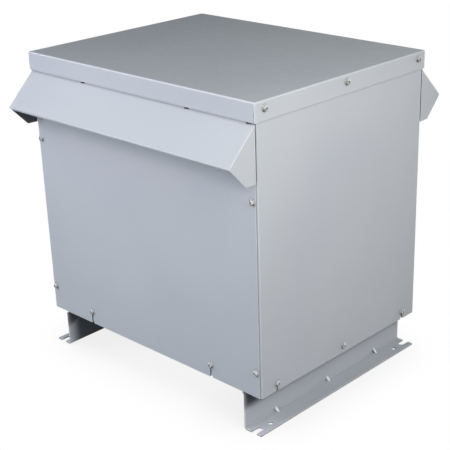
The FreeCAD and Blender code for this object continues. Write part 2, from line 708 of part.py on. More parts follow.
def base_pan():
    """Floor tray with four upright flanges and a large air inlet."""
    pieces = [pan_floor()]
    half_y = RETURN_BACK - PAN_SIDE_TRIM
    half_x = SIDE_FACE - RETURN_WIDTH - PAN_FRONT_TRIM
    top = PANEL_BOTTOM + PAN_FLANGE
    side_root = SIDE_INSIDE - PAN_SHEET - PAN_EDGE_RADIUS - PAN_RELIEF
    front_root = RETURN_BACK - PAN_SHEET - PAN_EDGE_RADIUS - PAN_RELIEF
    for s in (-1, 1):
        side = [(s * side_root, PANEL_BOTTOM), (s * SIDE_INSIDE, PANEL_BOTTOM), (s * SIDE_INSIDE, top)]
        pieces.append(folded(side, PAN_SHEET, PAN_EDGE_RADIUS, s, Y_AXIS, -half_y, 2 * half_y))
        front = [(s * front_root, PANEL_BOTTOM), (s * PANEL_BACK, PANEL_BOTTOM), (s * PANEL_BACK, top)]
        pieces.append(folded(front, PAN_SHEET, PAN_EDGE_RADIUS, s, X_AXIS, -half_x, 2 * half_x))
    tools = [box(-AIR_HALF_X, AIR_HALF_X, -AIR_HALF_Y, AIR_HALF_Y, PANEL_BOTTOM - PAST, PAN_TOP + PAST)]
    for s in (-1, 1):
        tools += [through(PILOT, (s * SIDE_INSIDE, y, z), X_AXIS) for y, z in side_screw_points()]
        tools += [through(PILOT, (x, s * PANEL_BACK, z), Y_AXIS) for x, z in bottom_row_points()]
    hole = M8["size"] + BOLT_CLEARANCE
    tools += [through(hole, (x, y, PANEL_BOTTOM), Z_AXIS) for x, y in base_bolt_points()]
    tools += [through(M5["size"] + THREAD_CLEARANCE, p, Y_AXIS) for p in earth_bar_points()]
    return cut(join(pieces), tools)


def floor_screen():
    """Perforated sheet welded under the air inlet, between the rail shelves."""
    half_y = AIR_HALF_Y + SCREEN_LAP
    low = PANEL_BOTTOM - SCREEN_SHEET
    sheet = box(-SCREEN_HALF_X, SCREEN_HALF_X, -half_y, half_y, low, PANEL_BOTTOM)
    half_long = SCREEN_SLOT_LENGTH / 2
    half_wide = SCREEN_SLOT_WIDTH / 2
    columns = int((AIR_HALF_X - half_long) / SCREEN_PITCH_X)
    rows = int((AIR_HALF_Y - half_wide) / SCREEN_PITCH_Y)
    tools = []
    for i in range(-columns, columns + 1):
        for j in range(-rows, rows + 1):
            x = i * SCREEN_PITCH_X
            y = j * SCREEN_PITCH_Y
            tools.append(box(x - half_long, x + half_long, y - half_wide, y + half_wide,
                             low - PAST, PANEL_BOTTOM + PAST))
    return cut(sheet, tools)


# Screws of the enclosure

def cover_screws():
    screw = washer_screw()
    points = [(s, y, z) for s in (-1, 1) for y, z in lid_screw_points()]
    return group(placed(screw, (s * LID_WIDTH / 2, y, z), X_AXIS * s) for s, y, z in points)


def panel_screws():
    screw = washer_screw()
    points = [(s, x, z) for s in (-1, 1) for x, z in side_column_points() + bottom_row_points()]
    return group(placed(screw, (x, s * FRONT_FACE, z), Y_AXIS * s) for s, x, z in points)


def side_panel_screws():
    screw = washer_screw()
    points = [(s, y, z) for s in (-1, 1) for y, z in side_screw_points()]
    return group(placed(screw, (s * SIDE_FACE, y, z), X_AXIS * s) for s, y, z in points)


def shield_screws():
    screw = washer_screw()
    seat = FRONT_FACE + HOOD_SHEET
    points = [(s, x, z) for s in (-1, 1) for x, z in hood_screw_points()]
    return group(placed(screw, (x, s * seat, z), Y_AXIS * s) for s, x, z in points)


# Core supports

def core_support(side):
    """Hat channel across the rails, under one pair of clamp feet."""
    y = CORE_Y + side * SUPPORT_Y
    inner = SUPPORT_TOP / 2 - SUPPORT_SHEET
    foot = SUPPORT_TOP / 2 + SUPPORT_FOOT
    under = SUPPORT_Z - SUPPORT_SHEET
    path = [(y - foot, PAN_TOP), (y - inner, PAN_TOP), (y - inner, under),
            (y + inner, under), (y + inner, PAN_TOP), (y + foot, PAN_TOP)]
    half = SUPPORT_HALF_LENGTH
    hat = folded(path, SUPPORT_SHEET, SUPPORT_BEND, 1, X_AXIS, -half, 2 * half)
    hole = M8["size"] + BOLT_CLEARANCE
    tools = [through(hole, (x, row, PAN_TOP), Z_AXIS) for x, row in support_bolt_points()]
    tools += [through(hole, (s * PAD_X, y, SUPPORT_Z), Z_AXIS) for s in (-1, 1)]
    return cut(hat, tools)


def base_bolts():
    length = SUPPORT_SHEET + PAN_SHEET + RAIL_SHEET + M8["nut"] + BOLT_TAIL
    piece = bolt(M8, length)
    supports = [placed(piece, (x, y, PAN_TOP + SUPPORT_SHEET), Z_AXIS) for x, y in support_bolt_points()]
    corners = [placed(piece, (x, y, PAN_TOP), Z_AXIS) for x, y in corner_bolt_points()]
    return group(supports + corners)


def base_nuts():
    piece = nut(M8)
    seat = PANEL_BOTTOM - RAIL_SHEET - M8["nut"]
    return group(moved(piece, x, y, seat) for x, y in base_bolt_points())


def pad_points():
    return [(sx * PAD_X, CORE_Y + sy * SUPPORT_Y) for sx in (-1, 1) for sy in (-1, 1)]


def isolation_pads():
    pads = []
    for x, y in pad_points():
        pad = moved(round_block(PAD_LENGTH / 2, PAD_WIDTH / 2, PAD_CORNER, SUPPORT_Z, PAD_TOP), x, y)
        pads.append(pad.cut(through(M8["size"] + BOLT_CLEARANCE, (x, y, PAD_TOP), Z_AXIS, 2 * PAD_THICK)))
    return group(pads)


def pad_bolts():
    length = CLAMP_SHEET + PAD_THICK + SUPPORT_SHEET + M8["nut"] + BOLT_TAIL
    piece = bolt(M8, length)
    return group(placed(piece, (x, y, PAD_TOP + CLAMP_SHEET), Z_AXIS) for x, y in pad_points())


def pad_nuts():
    piece = nut(M8)
    seat = SUPPORT_Z - SUPPORT_SHEET - M8["nut"]
    return group(moved(piece, x, y, seat) for x, y in pad_points())


# Core: stacked sheets with mitred corners

def core_plate(points):
    return flat_plate(points, Y_AXIS, CORE_Y - CORE_HALF_Y, STACK)


def outer_limb(side):
    outside = side * CORE_HALF_X
    inside = side * (CORE_HALF_X - LIMB)
    return core_plate([(outside, CORE_BOTTOM), (outside, CORE_TOP),
                       (inside, WINDOW_TOP), (inside, WINDOW_BOTTOM)])


def centre_limb():
    half = LIMB / 2
    return core_plate([(0, WINDOW_BOTTOM - half), (half, WINDOW_BOTTOM), (half, WINDOW_TOP),
                       (0, WINDOW_TOP + half), (-half, WINDOW_TOP), (-half, WINDOW_BOTTOM)])


def yoke(outside_z, inside_z):
    half = LIMB / 2
    notch = inside_z + (half if inside_z < outside_z else -half)
    inner = CORE_HALF_X - LIMB
    points = [(-CORE_HALF_X, outside_z), (CORE_HALF_X, outside_z), (inner, inside_z), (half, inside_z),
              (0, notch), (-half, inside_z), (-inner, inside_z)]
    middle = (outside_z + inside_z) / 2
    hole = M10["size"] + 2 * BOLT_CLEARANCE
    tools = [through(hole, (s * YOKE_BOLT_X, CORE_Y, middle), Y_AXIS, STACK) for s in (-1, 1)]
    return cut(core_plate(points), tools)


def clamp_bolt_x():
    return [-END_BOLT_X, -YOKE_BOLT_X, YOKE_BOLT_X, END_BOLT_X]


def clamp_bolt_points():
    rows = (PAD_TOP + CLAMP_HEIGHT / 2, TOP_CLAMP_BOTTOM + CLAMP_HEIGHT / 2)
    return [(x, z) for x in clamp_bolt_x() for z in rows]


def front_clamp(z0, drilled):
    """Channel on the front of a yoke, open to the front; the lower one has pad holes."""
    web = CORE_Y - CORE_HALF_Y
    edge = CORE_Y - CLAMP_EDGE
    path = [(edge, z0), (web, z0), (web, z0 + CLAMP_HEIGHT), (edge, z0 + CLAMP_HEIGHT)]
    channel = folded(path, CLAMP_SHEET, CLAMP_BEND, 1, X_AXIS, -CLAMP_HALF, 2 * CLAMP_HALF)
    middle = z0 + CLAMP_HEIGHT / 2
    tools = [through(M10["size"] + BOLT_CLEARANCE, (x, web, middle), Y_AXIS) for x in clamp_bolt_x()]
    if drilled:
        hole = M8["size"] + BOLT_CLEARANCE
        tools += [through(hole, (s * PAD_X, CORE_Y - SUPPORT_Y, z0), Z_AXIS) for s in (-1, 1)]
    return cut(channel, tools)


def clamp_bolts():
    piece = bolt(M10, 2 * CLAMP_FACE + M10["nut"] + BOLT_TAIL)
    return group(placed(piece, (x, CORE_Y - CLAMP_FACE, z), -Y_AXIS) for x, z in clamp_bolt_points())


def clamp_nuts():
    piece = nut(M10)
    return group(placed(piece, (x, CORE_Y + CLAMP_FACE, z), Y_AXIS) for x, z in clamp_bolt_points())


# Windings

def winding_tubes():
    low = WINDOW_BOTTOM + TUBE_END_PLAY
    high = WINDOW_TOP - TUBE_END_PLAY
    tube = coil_ring(TUBE_X, TUBE_Y, TUBE_WALL, TUBE_CORNER - TUBE_WALL, low, high)
    return group(moved(tube, x, CORE_Y) for x in PHASES.values())


def low_voltage_coil(x):
    return moved(coil_ring(LOW_X, LOW_Y, LOW_BUILD, TUBE_CORNER, COIL_BOTTOM, COIL_TOP), x, CORE_Y)


def high_voltage_coil(x):
    corner = TUBE_CORNER + LOW_BUILD + DUCT
    low = COIL_BOTTOM + HIGH_END_MARGIN
    high = COIL_TOP - HIGH_END_MARGIN
    return moved(coil_ring(HIGH_X, HIGH_Y, HIGH_BUILD, corner, low, high), x, CORE_Y)


def duct_spacers():
    """Upright sticks that hold the cooling duct open between the two windings."""
    sticks = []
    half = STICK_WIDTH / 2
    for x in PHASES.values():
        for s in (-1, 1):
            for t in (-1, 1):
                along_x = x + t * STICK_LONG_X
                y = sorted((CORE_Y + s * DUCT_Y, CORE_Y + s * HIGH_Y))
                sticks.append(box(along_x - half, along_x + half, *y, COIL_BOTTOM, COIL_TOP))
                along_y = CORE_Y + t * STICK_LONG_Y
                across = sorted((x + s * DUCT_X, x + s * HIGH_X))
                sticks.append(box(*across, along_y - half, along_y + half, COIL_BOTTOM, COIL_TOP))
    return group(sticks)


def end_block_pair(x0, x1, whole, step):
    """Lower and upper stepped block on one side of a coil."""
    low = [box(x0, x1, *whole, LOW_CLAMP_TOP, COIL_BOTTOM),
           box(x0, x1, *step, COIL_BOTTOM, COIL_BOTTOM + HIGH_END_MARGIN)]
    high = [box(x0, x1, *whole, COIL_TOP, TOP_CLAMP_BOTTOM),
            box(x0, x1, *step, COIL_TOP - HIGH_END_MARGIN, COIL_TOP)]
    return [join(low), join(high)]


def coil_end_blocks():
    """Stepped blocks between both windings and the clamp flanges."""
    blocks = []
    near = LOW_Y + BLOCK_INSET
    far = COIL_Y - BLOCK_INSET
    for x in PHASES.values():
        for t in (-1, 1):
            x0 = x + t * BLOCK_X - BLOCK_WIDTH / 2
            for s in (-1, 1):
                whole = sorted((CORE_Y + s * near, CORE_Y + s * far))
                step = sorted((CORE_Y + s * HIGH_Y, CORE_Y + s * far))
                blocks += end_block_pair(x0, x0 + BLOCK_WIDTH, whole, step)
    return group(blocks)


# Terminals

def board_posts():
    posts = []
    for x in POST_X:
        posts.append(rod(POST_DIAMETER, (x, STUD_Y, TOP_CLAMP_TOP), Z_AXIS, POST_LENGTH))
        posts.append(rod(POST_DIAMETER, (x, CORE_Y + CLAMP_FACE, BOARD_MIDDLE_Z), Y_AXIS, POST_LENGTH))
    return group(posts)


def high_voltage_board():
    half = BOARD_WIDTH / 2
    board = box(-HIGH_BOARD_HALF, HIGH_BOARD_HALF, STUD_Y - half, STUD_Y + half,
                HIGH_BOARD_Z, HIGH_BOARD_TOP)
    hole = M8["size"] + BOLT_CLEARANCE
    reach = 2 * BOARD_THICK
    return cut(board, [through(hole, (x, STUD_Y, HIGH_BOARD_Z), Z_AXIS, reach) for x in PHASES.values()])


def high_voltage_studs():
    low = HIGH_BOARD_Z - STUD_TAIL
    return group(rod(M8["size"], (x, STUD_Y, low), Z_AXIS, STUD_LENGTH) for x in PHASES.values())


def bus_x():
    return list(PHASES.values()) + [NEUTRAL_X]


def low_voltage_board():
    y = CORE_Y + LOW_BOARD_Y
    half = BOARD_WIDTH / 2
    board = box(-LOW_BOARD_HALF, LOW_BOARD_HALF, y, y + BOARD_THICK,
                BOARD_MIDDLE_Z - half, BOARD_MIDDLE_Z + half)
    hole = M8["size"] + BOLT_CLEARANCE
    reach = 2 * BOARD_THICK
    return cut(board, [through(hole, (x, y, BOARD_MIDDLE_Z), Y_AXIS, reach) for x in bus_x()])


def bus_holes(x):
    y = CORE_Y + BUS_Y
    tools = [through(BUS_HOLE, (x, y, BUS_TOP - drop), Y_AXIS) for drop in BUS_HOLE_DROPS]
    tools.append(through(M8["size"] + BOLT_CLEARANCE, (x, y, BOARD_MIDDLE_Z), Y_AXIS))
    return tools


def phase_bus(x):
    """Flat bar from the inner winding, out under the clamp and up past the board."""
    outer = CORE_Y + BUS_Y + BUS_THICK
    path = [(CORE_Y + LOW_Y + BLOCK_INSET, COIL_TOP), (outer, COIL_TOP), (outer, BUS_TOP)]
    bar = folded(path, BUS_THICK, BUS_BEND, 1, X_AXIS, x - BUS_WIDTH / 2, BUS_WIDTH)
    return cut(bar, bus_holes(x))


def neutral_bus():
    """Bar that ties the lower ends of the inner windings and rises to the board."""
    inner = CORE_Y + BUS_Y
    outer = inner + BUS_THICK
    root = CORE_Y + LOW_Y + BLOCK_INSET
    low = COIL_BOTTOM - NEUTRAL_DROP
    half = BUS_WIDTH / 2
    pieces = [box(-PHASE_PITCH - half, NEUTRAL_X + half, inner, outer, low, low + BUS_WIDTH),
              box(NEUTRAL_X - half, NEUTRAL_X + half, inner, outer, low, BUS_TOP)]
    for x in PHASES.values():
        pieces.append(box(x - half, x + half, root, outer, COIL_BOTTOM - BUS_THICK, COIL_BOTTOM))
    return cut(join(pieces), bus_holes(NEUTRAL_X))


def low_voltage_bolts():
    piece = bolt(M8, BUS_THICK + BOARD_THICK + M8["nut"] + BOLT_TAIL)
    seat = CORE_Y + BUS_Y + BUS_THICK
    return group(placed(piece, (x, seat, BOARD_MIDDLE_Z), Y_AXIS) for x in bus_x())


def terminal_nuts():
    piece = nut(M8)
    nuts = [placed(piece, (x, CORE_Y + LOW_BOARD_Y, BOARD_MIDDLE_Z), -Y_AXIS) for x in bus_x()]
    for x in PHASES.values():
        nuts.append(moved(piece, x, STUD_Y, HIGH_BOARD_Z - M8["nut"]))
        nuts.append(moved(piece, x, STUD_Y, HIGH_BOARD_TOP + 2 * LUG_THICK))
    return group(nuts)


# High-voltage leads

def lead_wire(points):
    """Path of straight runs and tangent arcs, each as large as its two runs allow."""
    points = [FreeCAD.Vector(*p) for p in points]
    edges = []
    radii = []
    last = points[0]
    for a, b, c in zip(points, points[1:], points[2:]):
        into = (a - b).normalize()
        out = (c - b).normalize()
        half = into.getAngle(out) / 2
        setback = ARC_SHARE * min((a - b).Length, (c - b).Length)
        radius = setback * math.tan(half)
        start = b + into * setback
        end = b + out * setback
        top = b + (into + out).normalize() * (radius / math.sin(half) - radius)
        edges.append(Part.makeLine(last, start))
        edges.append(Part.Arc(start, top, end).toShape())
        radii.append(round(radius))
        last = end
    edges.append(Part.makeLine(last, points[-1]))
    print("lead radii", radii)
    return Part.Wire(edges)


def cable(points):
    start = FreeCAD.Vector(*points[0])
    heading = FreeCAD.Vector(*points[1]) - start
    section = Part.Wire(Part.makeCircle(LEAD_DIAMETER / 2, start, heading))
    return lead_wire(points).makePipeShell([section], True, False)


def lug_vector(turn):
    angle = math.radians(turn)
    return FreeCAD.Vector(math.sin(angle), -math.cos(angle), 0)


def lug_block(centre, turn, near, far, height):
    """Bar of the barrel's width, from near to far of the stud, turned about the stud."""
    block = box(-LUG_BARREL / 2, LUG_BARREL / 2, -far, -near, 0, height)
    block = turned(block, Z_AXIS, turn)
    block.translate(centre)
    return block


def lug(x, turn, level):
    """Ring lug on a stud, its barrel pointing to the front and to one side."""
    centre = FreeCAD.Vector(x, STUD_Y, HIGH_BOARD_TOP + level * LUG_THICK)
    way = lug_vector(turn)
    rise = LUG_BARREL_RISE - level * LUG_THICK
    ring = rod(2 * LUG_RADIUS, centre, Z_AXIS, LUG_THICK)
    tongue = lug_block(centre, turn, 0, LUG_BARREL_END, LUG_THICK)
    foot = lug_block(centre, turn, LUG_BARREL_START, LUG_BARREL_END, rise)
    start = centre + way * LUG_BARREL_START + Z_AXIS * rise
    barrel = Part.makeCylinder(LUG_BARREL / 2, LUG_BARREL_END - LUG_BARREL_START, start, way)
    return join([ring, tongue, foot, barrel]).cut(through(M8["size"] + BOLT_CLEARANCE, centre, Z_AXIS))


def lug_mouth(x, turn, distance):
    point = FreeCAD.Vector(x, STUD_Y, HIGH_BOARD_TOP + LUG_BARREL_RISE) + lug_vector(turn) * distance
    return (point.x, point.y, point.z)


def start_lead(x):
    """Lead from the upper end of an outer winding to its own stud."""
    exit_x = x - LEAD_EXIT_X
    far = lug_mouth(x, -LUG_ANGLE, LUG_RUN)
    out = far[1] - LEAD_SWAY
    points = [(exit_x, COIL_FRONT, LEAD_TOP_EXIT),
              (exit_x, COIL_FRONT - LEAD_STAND_OFF, LEAD_TOP_EXIT),
              (exit_x - LEAD_SWAY, out, TOP_CLAMP_TOP - ROUTE_HIGH_DROP),
              (far[0], out, TOP_CLAMP_TOP + ROUTE_TOP_RISE),
              far,
              lug_mouth(x, -LUG_ANGLE, LUG_BARREL_END)]
    return join([cable(points), lug(x, -LUG_ANGLE, 0)])


def delta_lead(x, stud_x):
    """Lead from the lower end of an outer winding to the next stud on its left."""
    exit_x = x - LEAD_EXIT_X
    gap_x = x - PHASE_PITCH / 2
    out = COIL_FRONT - LEAD_STAND_OFF
    far = lug_mouth(stud_x, LUG_ANGLE, LUG_RUN)
    points = [(exit_x, COIL_FRONT, LEAD_LOW_EXIT),
              (exit_x, out, LEAD_LOW_EXIT),
              (gap_x, out - LEAD_SWAY, LEAD_LOW_EXIT + ROUTE_RISE),
              (gap_x, out - LEAD_SWAY / 2, TOP_CLAMP_TOP - ROUTE_MIDDLE_DROP),
              (gap_x, out - 3 * LEAD_SWAY, TOP_CLAMP_TOP - ROUTE_HIGH_DROP),
              (far[0], far[1] - LEAD_SWAY, TOP_CLAMP_TOP + ROUTE_TOP_RISE),
              far,
              lug_mouth(stud_x, LUG_ANGLE, LUG_BARREL_END)]
    return join([cable(points), lug(stud_x, LUG_ANGLE, 1)])


def closing_lead():
    """Lead from the lower end of winding a, across the front, to the last stud."""
    x = PHASES["a"] - LEAD_EXIT_X
    last = PHASES["c"]
    gap_x = last + PHASE_PITCH / 2
    low = LEAD_LOW_EXIT - CROSSING_DROP
    out = COIL_FRONT - CROSSING_OUT
    far = lug_mouth(last, LUG_ANGLE, LUG_RUN)
    points = [(x, COIL_FRONT, LEAD_LOW_EXIT),
              (x, COIL_FRONT - LEAD_STAND_OFF, LEAD_LOW_EXIT),
              (x + LEAD_STAND_OFF, out, low),
              (PHASES["b"] - LEAD_EXIT_X, out - LEAD_SWAY, low - LEAD_SWAY),
              (last - PHASE_PITCH / 2, out, low),
              (gap_x - LEAD_SWAY, out + LEAD_SWAY, low + LEAD_STAND_OFF / 2),
              (gap_x, out + 3 * LEAD_SWAY, LEAD_LOW_EXIT + ROUTE_RISE),
              (gap_x, out + 5 * LEAD_SWAY, TOP_CLAMP_TOP - ROUTE_HIGH_DROP),
              (far[0] + 4 * LEAD_SWAY, far[1] - LEAD_SWAY, TOP_CLAMP_TOP + ROUTE_TOP_RISE),
              far,
              lug_mouth(last, LUG_ANGLE, LUG_BARREL_END)]
    return join([cable(points), lug(last, LUG_ANGLE, 1)])


def high_voltage_lead(phase):
    """Both leads that start at one outer winding."""
    if phase == "a":
        return group([start_lead(PHASES["a"]), closing_lead()])
    before = {"b": "a", "c": "b"}[phase]
    return group([start_lead(PHASES[phase]), delta_lead(PHASES[phase], PHASES[before])])


# Earthing

def earth_bar_points():
    face = -PANEL_BACK + PAN_SHEET + EARTH_BAR_THICK
    first = EARTH_BAR_X - EARTH_SCREW_PITCH * (EARTH_SCREW_COUNT - 1) / 2
    return [(first + i * EARTH_SCREW_PITCH, face, EARTH_BAR_Z) for i in range(EARTH_SCREW_COUNT)]


def earth_bar():
    """Bar on the inner face of the front pan flange, with screw holes."""
    back = -PANEL_BACK + PAN_SHEET
    half_x = EARTH_BAR_LENGTH / 2
    half_z = EARTH_BAR_HEIGHT / 2
    bar = box(EARTH_BAR_X - half_x, EARTH_BAR_X + half_x, back, back + EARTH_BAR_THICK,
              EARTH_BAR_Z - half_z, EARTH_BAR_Z + half_z)
    return cut(bar, [through(M5["size"] + THREAD_CLEARANCE, p, Y_AXIS) for p in earth_bar_points()])


def earth_screws():
    piece = bolt(M5, EARTH_BAR_THICK + PAN_SHEET)
    return group(placed(piece, p, Y_AXIS) for p in earth_bar_points())


def earth_strap():
    """Flat braid that bridges one rubber pad, from clamp flange to support foot."""
    flange = PAD_TOP + CLAMP_SHEET
    foot = PAN_TOP + SUPPORT_SHEET
    middle = CORE_Y - SUPPORT_Y
    drop = middle - SUPPORT_TOP / 2 - STRAP_DROP_OUT
    end = middle - SUPPORT_TOP / 2 - SUPPORT_FOOT + PAST
    path = [(middle + STRAP_LAP, flange), (drop, flange), (drop, foot), (end, foot)]
    return folded(path, STRAP_THICK, STRAP_BEND, -1, X_AXIS, STRAP_X - STRAP_WIDTH / 2, STRAP_WIDTH)


# All the nodes

def build_nodes():
    front = {
        "front_panel": front_panel(),
        "front_weather_shield": weather_shield(),
        "front_crossbar": crossbar(),
    }
    nodes = dict(front)
    for name, shape in front.items():
        nodes[name.replace("front", "rear")] = rear_of(shape)
    nodes["top_cover"] = top_cover()
    nodes["right_side_panel"] = side_panel()
    nodes["left_side_panel"] = rear_of(nodes["right_side_panel"])
    nodes["right_base_rail"] = base_rail()
    nodes["left_base_rail"] = mirrored_x(nodes["right_base_rail"])
    nodes["base_pan"] = base_pan()
    nodes["floor_screen"] = floor_screen()
    nodes["cover_screws"] = cover_screws()
    nodes["panel_screws"] = panel_screws()
    nodes["side_panel_screws"] = side_panel_screws()
    nodes["shield_screws"] = shield_screws()
    nodes["front_core_support"] = core_support(-1)
    nodes["rear_core_support"] = core_support(1)
    nodes["base_bolts"] = base_bolts()
    nodes["base_nuts"] = base_nuts()
    nodes["isolation_pads"] = isolation_pads()
    nodes["pad_bolts"] = pad_bolts()
    nodes["pad_nuts"] = pad_nuts()
    nodes["left_limb"] = outer_limb(-1)
    nodes["centre_limb"] = centre_limb()
    nodes["right_limb"] = outer_limb(1)
    nodes["bottom_yoke"] = yoke(CORE_BOTTOM, WINDOW_BOTTOM)
    nodes["top_yoke"] = yoke(CORE_TOP, WINDOW_TOP)
    nodes["front_bottom_clamp"] = front_clamp(PAD_TOP, True)
    nodes["front_top_clamp"] = front_clamp(TOP_CLAMP_BOTTOM, False)
    nodes["rear_bottom_clamp"] = rear_clamp_side(nodes["front_bottom_clamp"])
    nodes["rear_top_clamp"] = rear_clamp_side(nodes["front_top_clamp"])
    nodes["clamp_bolts"] = clamp_bolts()
    nodes["clamp_nuts"] = clamp_nuts()
    nodes["winding_tubes"] = winding_tubes()
    for phase, x in PHASES.items():
        nodes["low_voltage_coil_" + phase] = low_voltage_coil(x)
        nodes["high_voltage_coil_" + phase] = high_voltage_coil(x)
        nodes["high_voltage_leads_" + phase] = high_voltage_lead(phase)
        nodes["low_voltage_bar_" + phase] = phase_bus(x)
    nodes["duct_spacers"] = duct_spacers()
    nodes["coil_end_blocks"] = coil_end_blocks()
    nodes["board_posts"] = board_posts()
    nodes["high_voltage_board"] = high_voltage_board()
    nodes["high_voltage_studs"] = high_voltage_studs()
    nodes["low_voltage_board"] = low_voltage_board()
    nodes["low_voltage_bolts"] = low_voltage_bolts()
    nodes["neutral_bar"] = neutral_bus()
    nodes["terminal_nuts"] = terminal_nuts()
    nodes["earth_bar"] = earth_bar()
    nodes["earth_strap"] = earth_strap()
    nodes["earth_screws"] = earth_screws()
    return nodes


os.makedirs("parts", exist_ok=True)
for node_name, node_shape in build_nodes().items():
    node_shape.exportStep("parts/" + node_name + ".step")
    solids = node_shape.Solids
    print(node_name, len(solids), "solids", round(node_shape.Volume / 1000, 2), "cm3", node_shape.isValid())
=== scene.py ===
import json
import math

import bmesh
import bpy
from mathutils import Matrix, Vector


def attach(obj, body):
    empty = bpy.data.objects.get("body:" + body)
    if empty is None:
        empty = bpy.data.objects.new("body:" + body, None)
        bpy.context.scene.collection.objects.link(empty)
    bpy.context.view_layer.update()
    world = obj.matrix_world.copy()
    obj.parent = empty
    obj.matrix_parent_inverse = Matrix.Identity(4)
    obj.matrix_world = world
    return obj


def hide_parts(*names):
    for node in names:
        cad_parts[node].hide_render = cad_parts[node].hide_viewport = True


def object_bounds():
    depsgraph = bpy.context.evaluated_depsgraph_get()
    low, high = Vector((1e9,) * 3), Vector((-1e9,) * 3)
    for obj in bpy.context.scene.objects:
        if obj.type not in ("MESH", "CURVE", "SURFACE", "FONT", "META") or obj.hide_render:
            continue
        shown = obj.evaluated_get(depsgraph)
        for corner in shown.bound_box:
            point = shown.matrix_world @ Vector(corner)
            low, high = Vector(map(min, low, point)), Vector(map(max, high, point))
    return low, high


# Looks of the three-phase transformer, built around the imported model. Metres, +Z up, the front faces -Y.

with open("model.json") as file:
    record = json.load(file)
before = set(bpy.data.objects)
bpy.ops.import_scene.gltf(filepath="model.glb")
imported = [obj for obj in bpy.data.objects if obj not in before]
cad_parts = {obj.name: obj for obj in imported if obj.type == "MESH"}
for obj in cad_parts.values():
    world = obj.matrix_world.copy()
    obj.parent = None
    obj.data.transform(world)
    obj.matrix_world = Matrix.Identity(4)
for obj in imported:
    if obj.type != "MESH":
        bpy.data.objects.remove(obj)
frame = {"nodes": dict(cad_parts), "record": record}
nodes = frame["nodes"]
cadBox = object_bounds()
print("frame loaded with", len(nodes), "CAD pieces")


# Shader tools

shows = {
    # a rim or a fold starts to show at the first value, and shows in full at the second
    "rim": (0.985, 0.90),       # cosine between the eased normal and the plain one
    "fold": (0.985, 0.86),      # square of the cosine to the nearest flat
}


class Signal:
    # one output of a node; a sum written with it adds Math nodes to the same finish
    def __init__(self, finish, socket):
        self.finish = finish
        self.socket = socket

    def sum(self, operation, first, second):
        return self.finish.node("ShaderNodeMath", {"operation": operation}, {0: first, 1: second})

    def __add__(self, other):
        return self.sum("ADD", self, other)

    def __radd__(self, other):
        return self.sum("ADD", other, self)

    def __sub__(self, other):
        return self.sum("SUBTRACT", self, other)

    def __rsub__(self, other):
        return self.sum("SUBTRACT", other, self)

    def __mul__(self, other):
        return self.sum("MULTIPLY", self, other)

    def __rmul__(self, other):
        return self.sum("MULTIPLY", other, self)

    def __pow__(self, other):
        return self.sum("POWER", self, other)

    def larger(self, other):
        return self.sum("MAXIMUM", self, other)


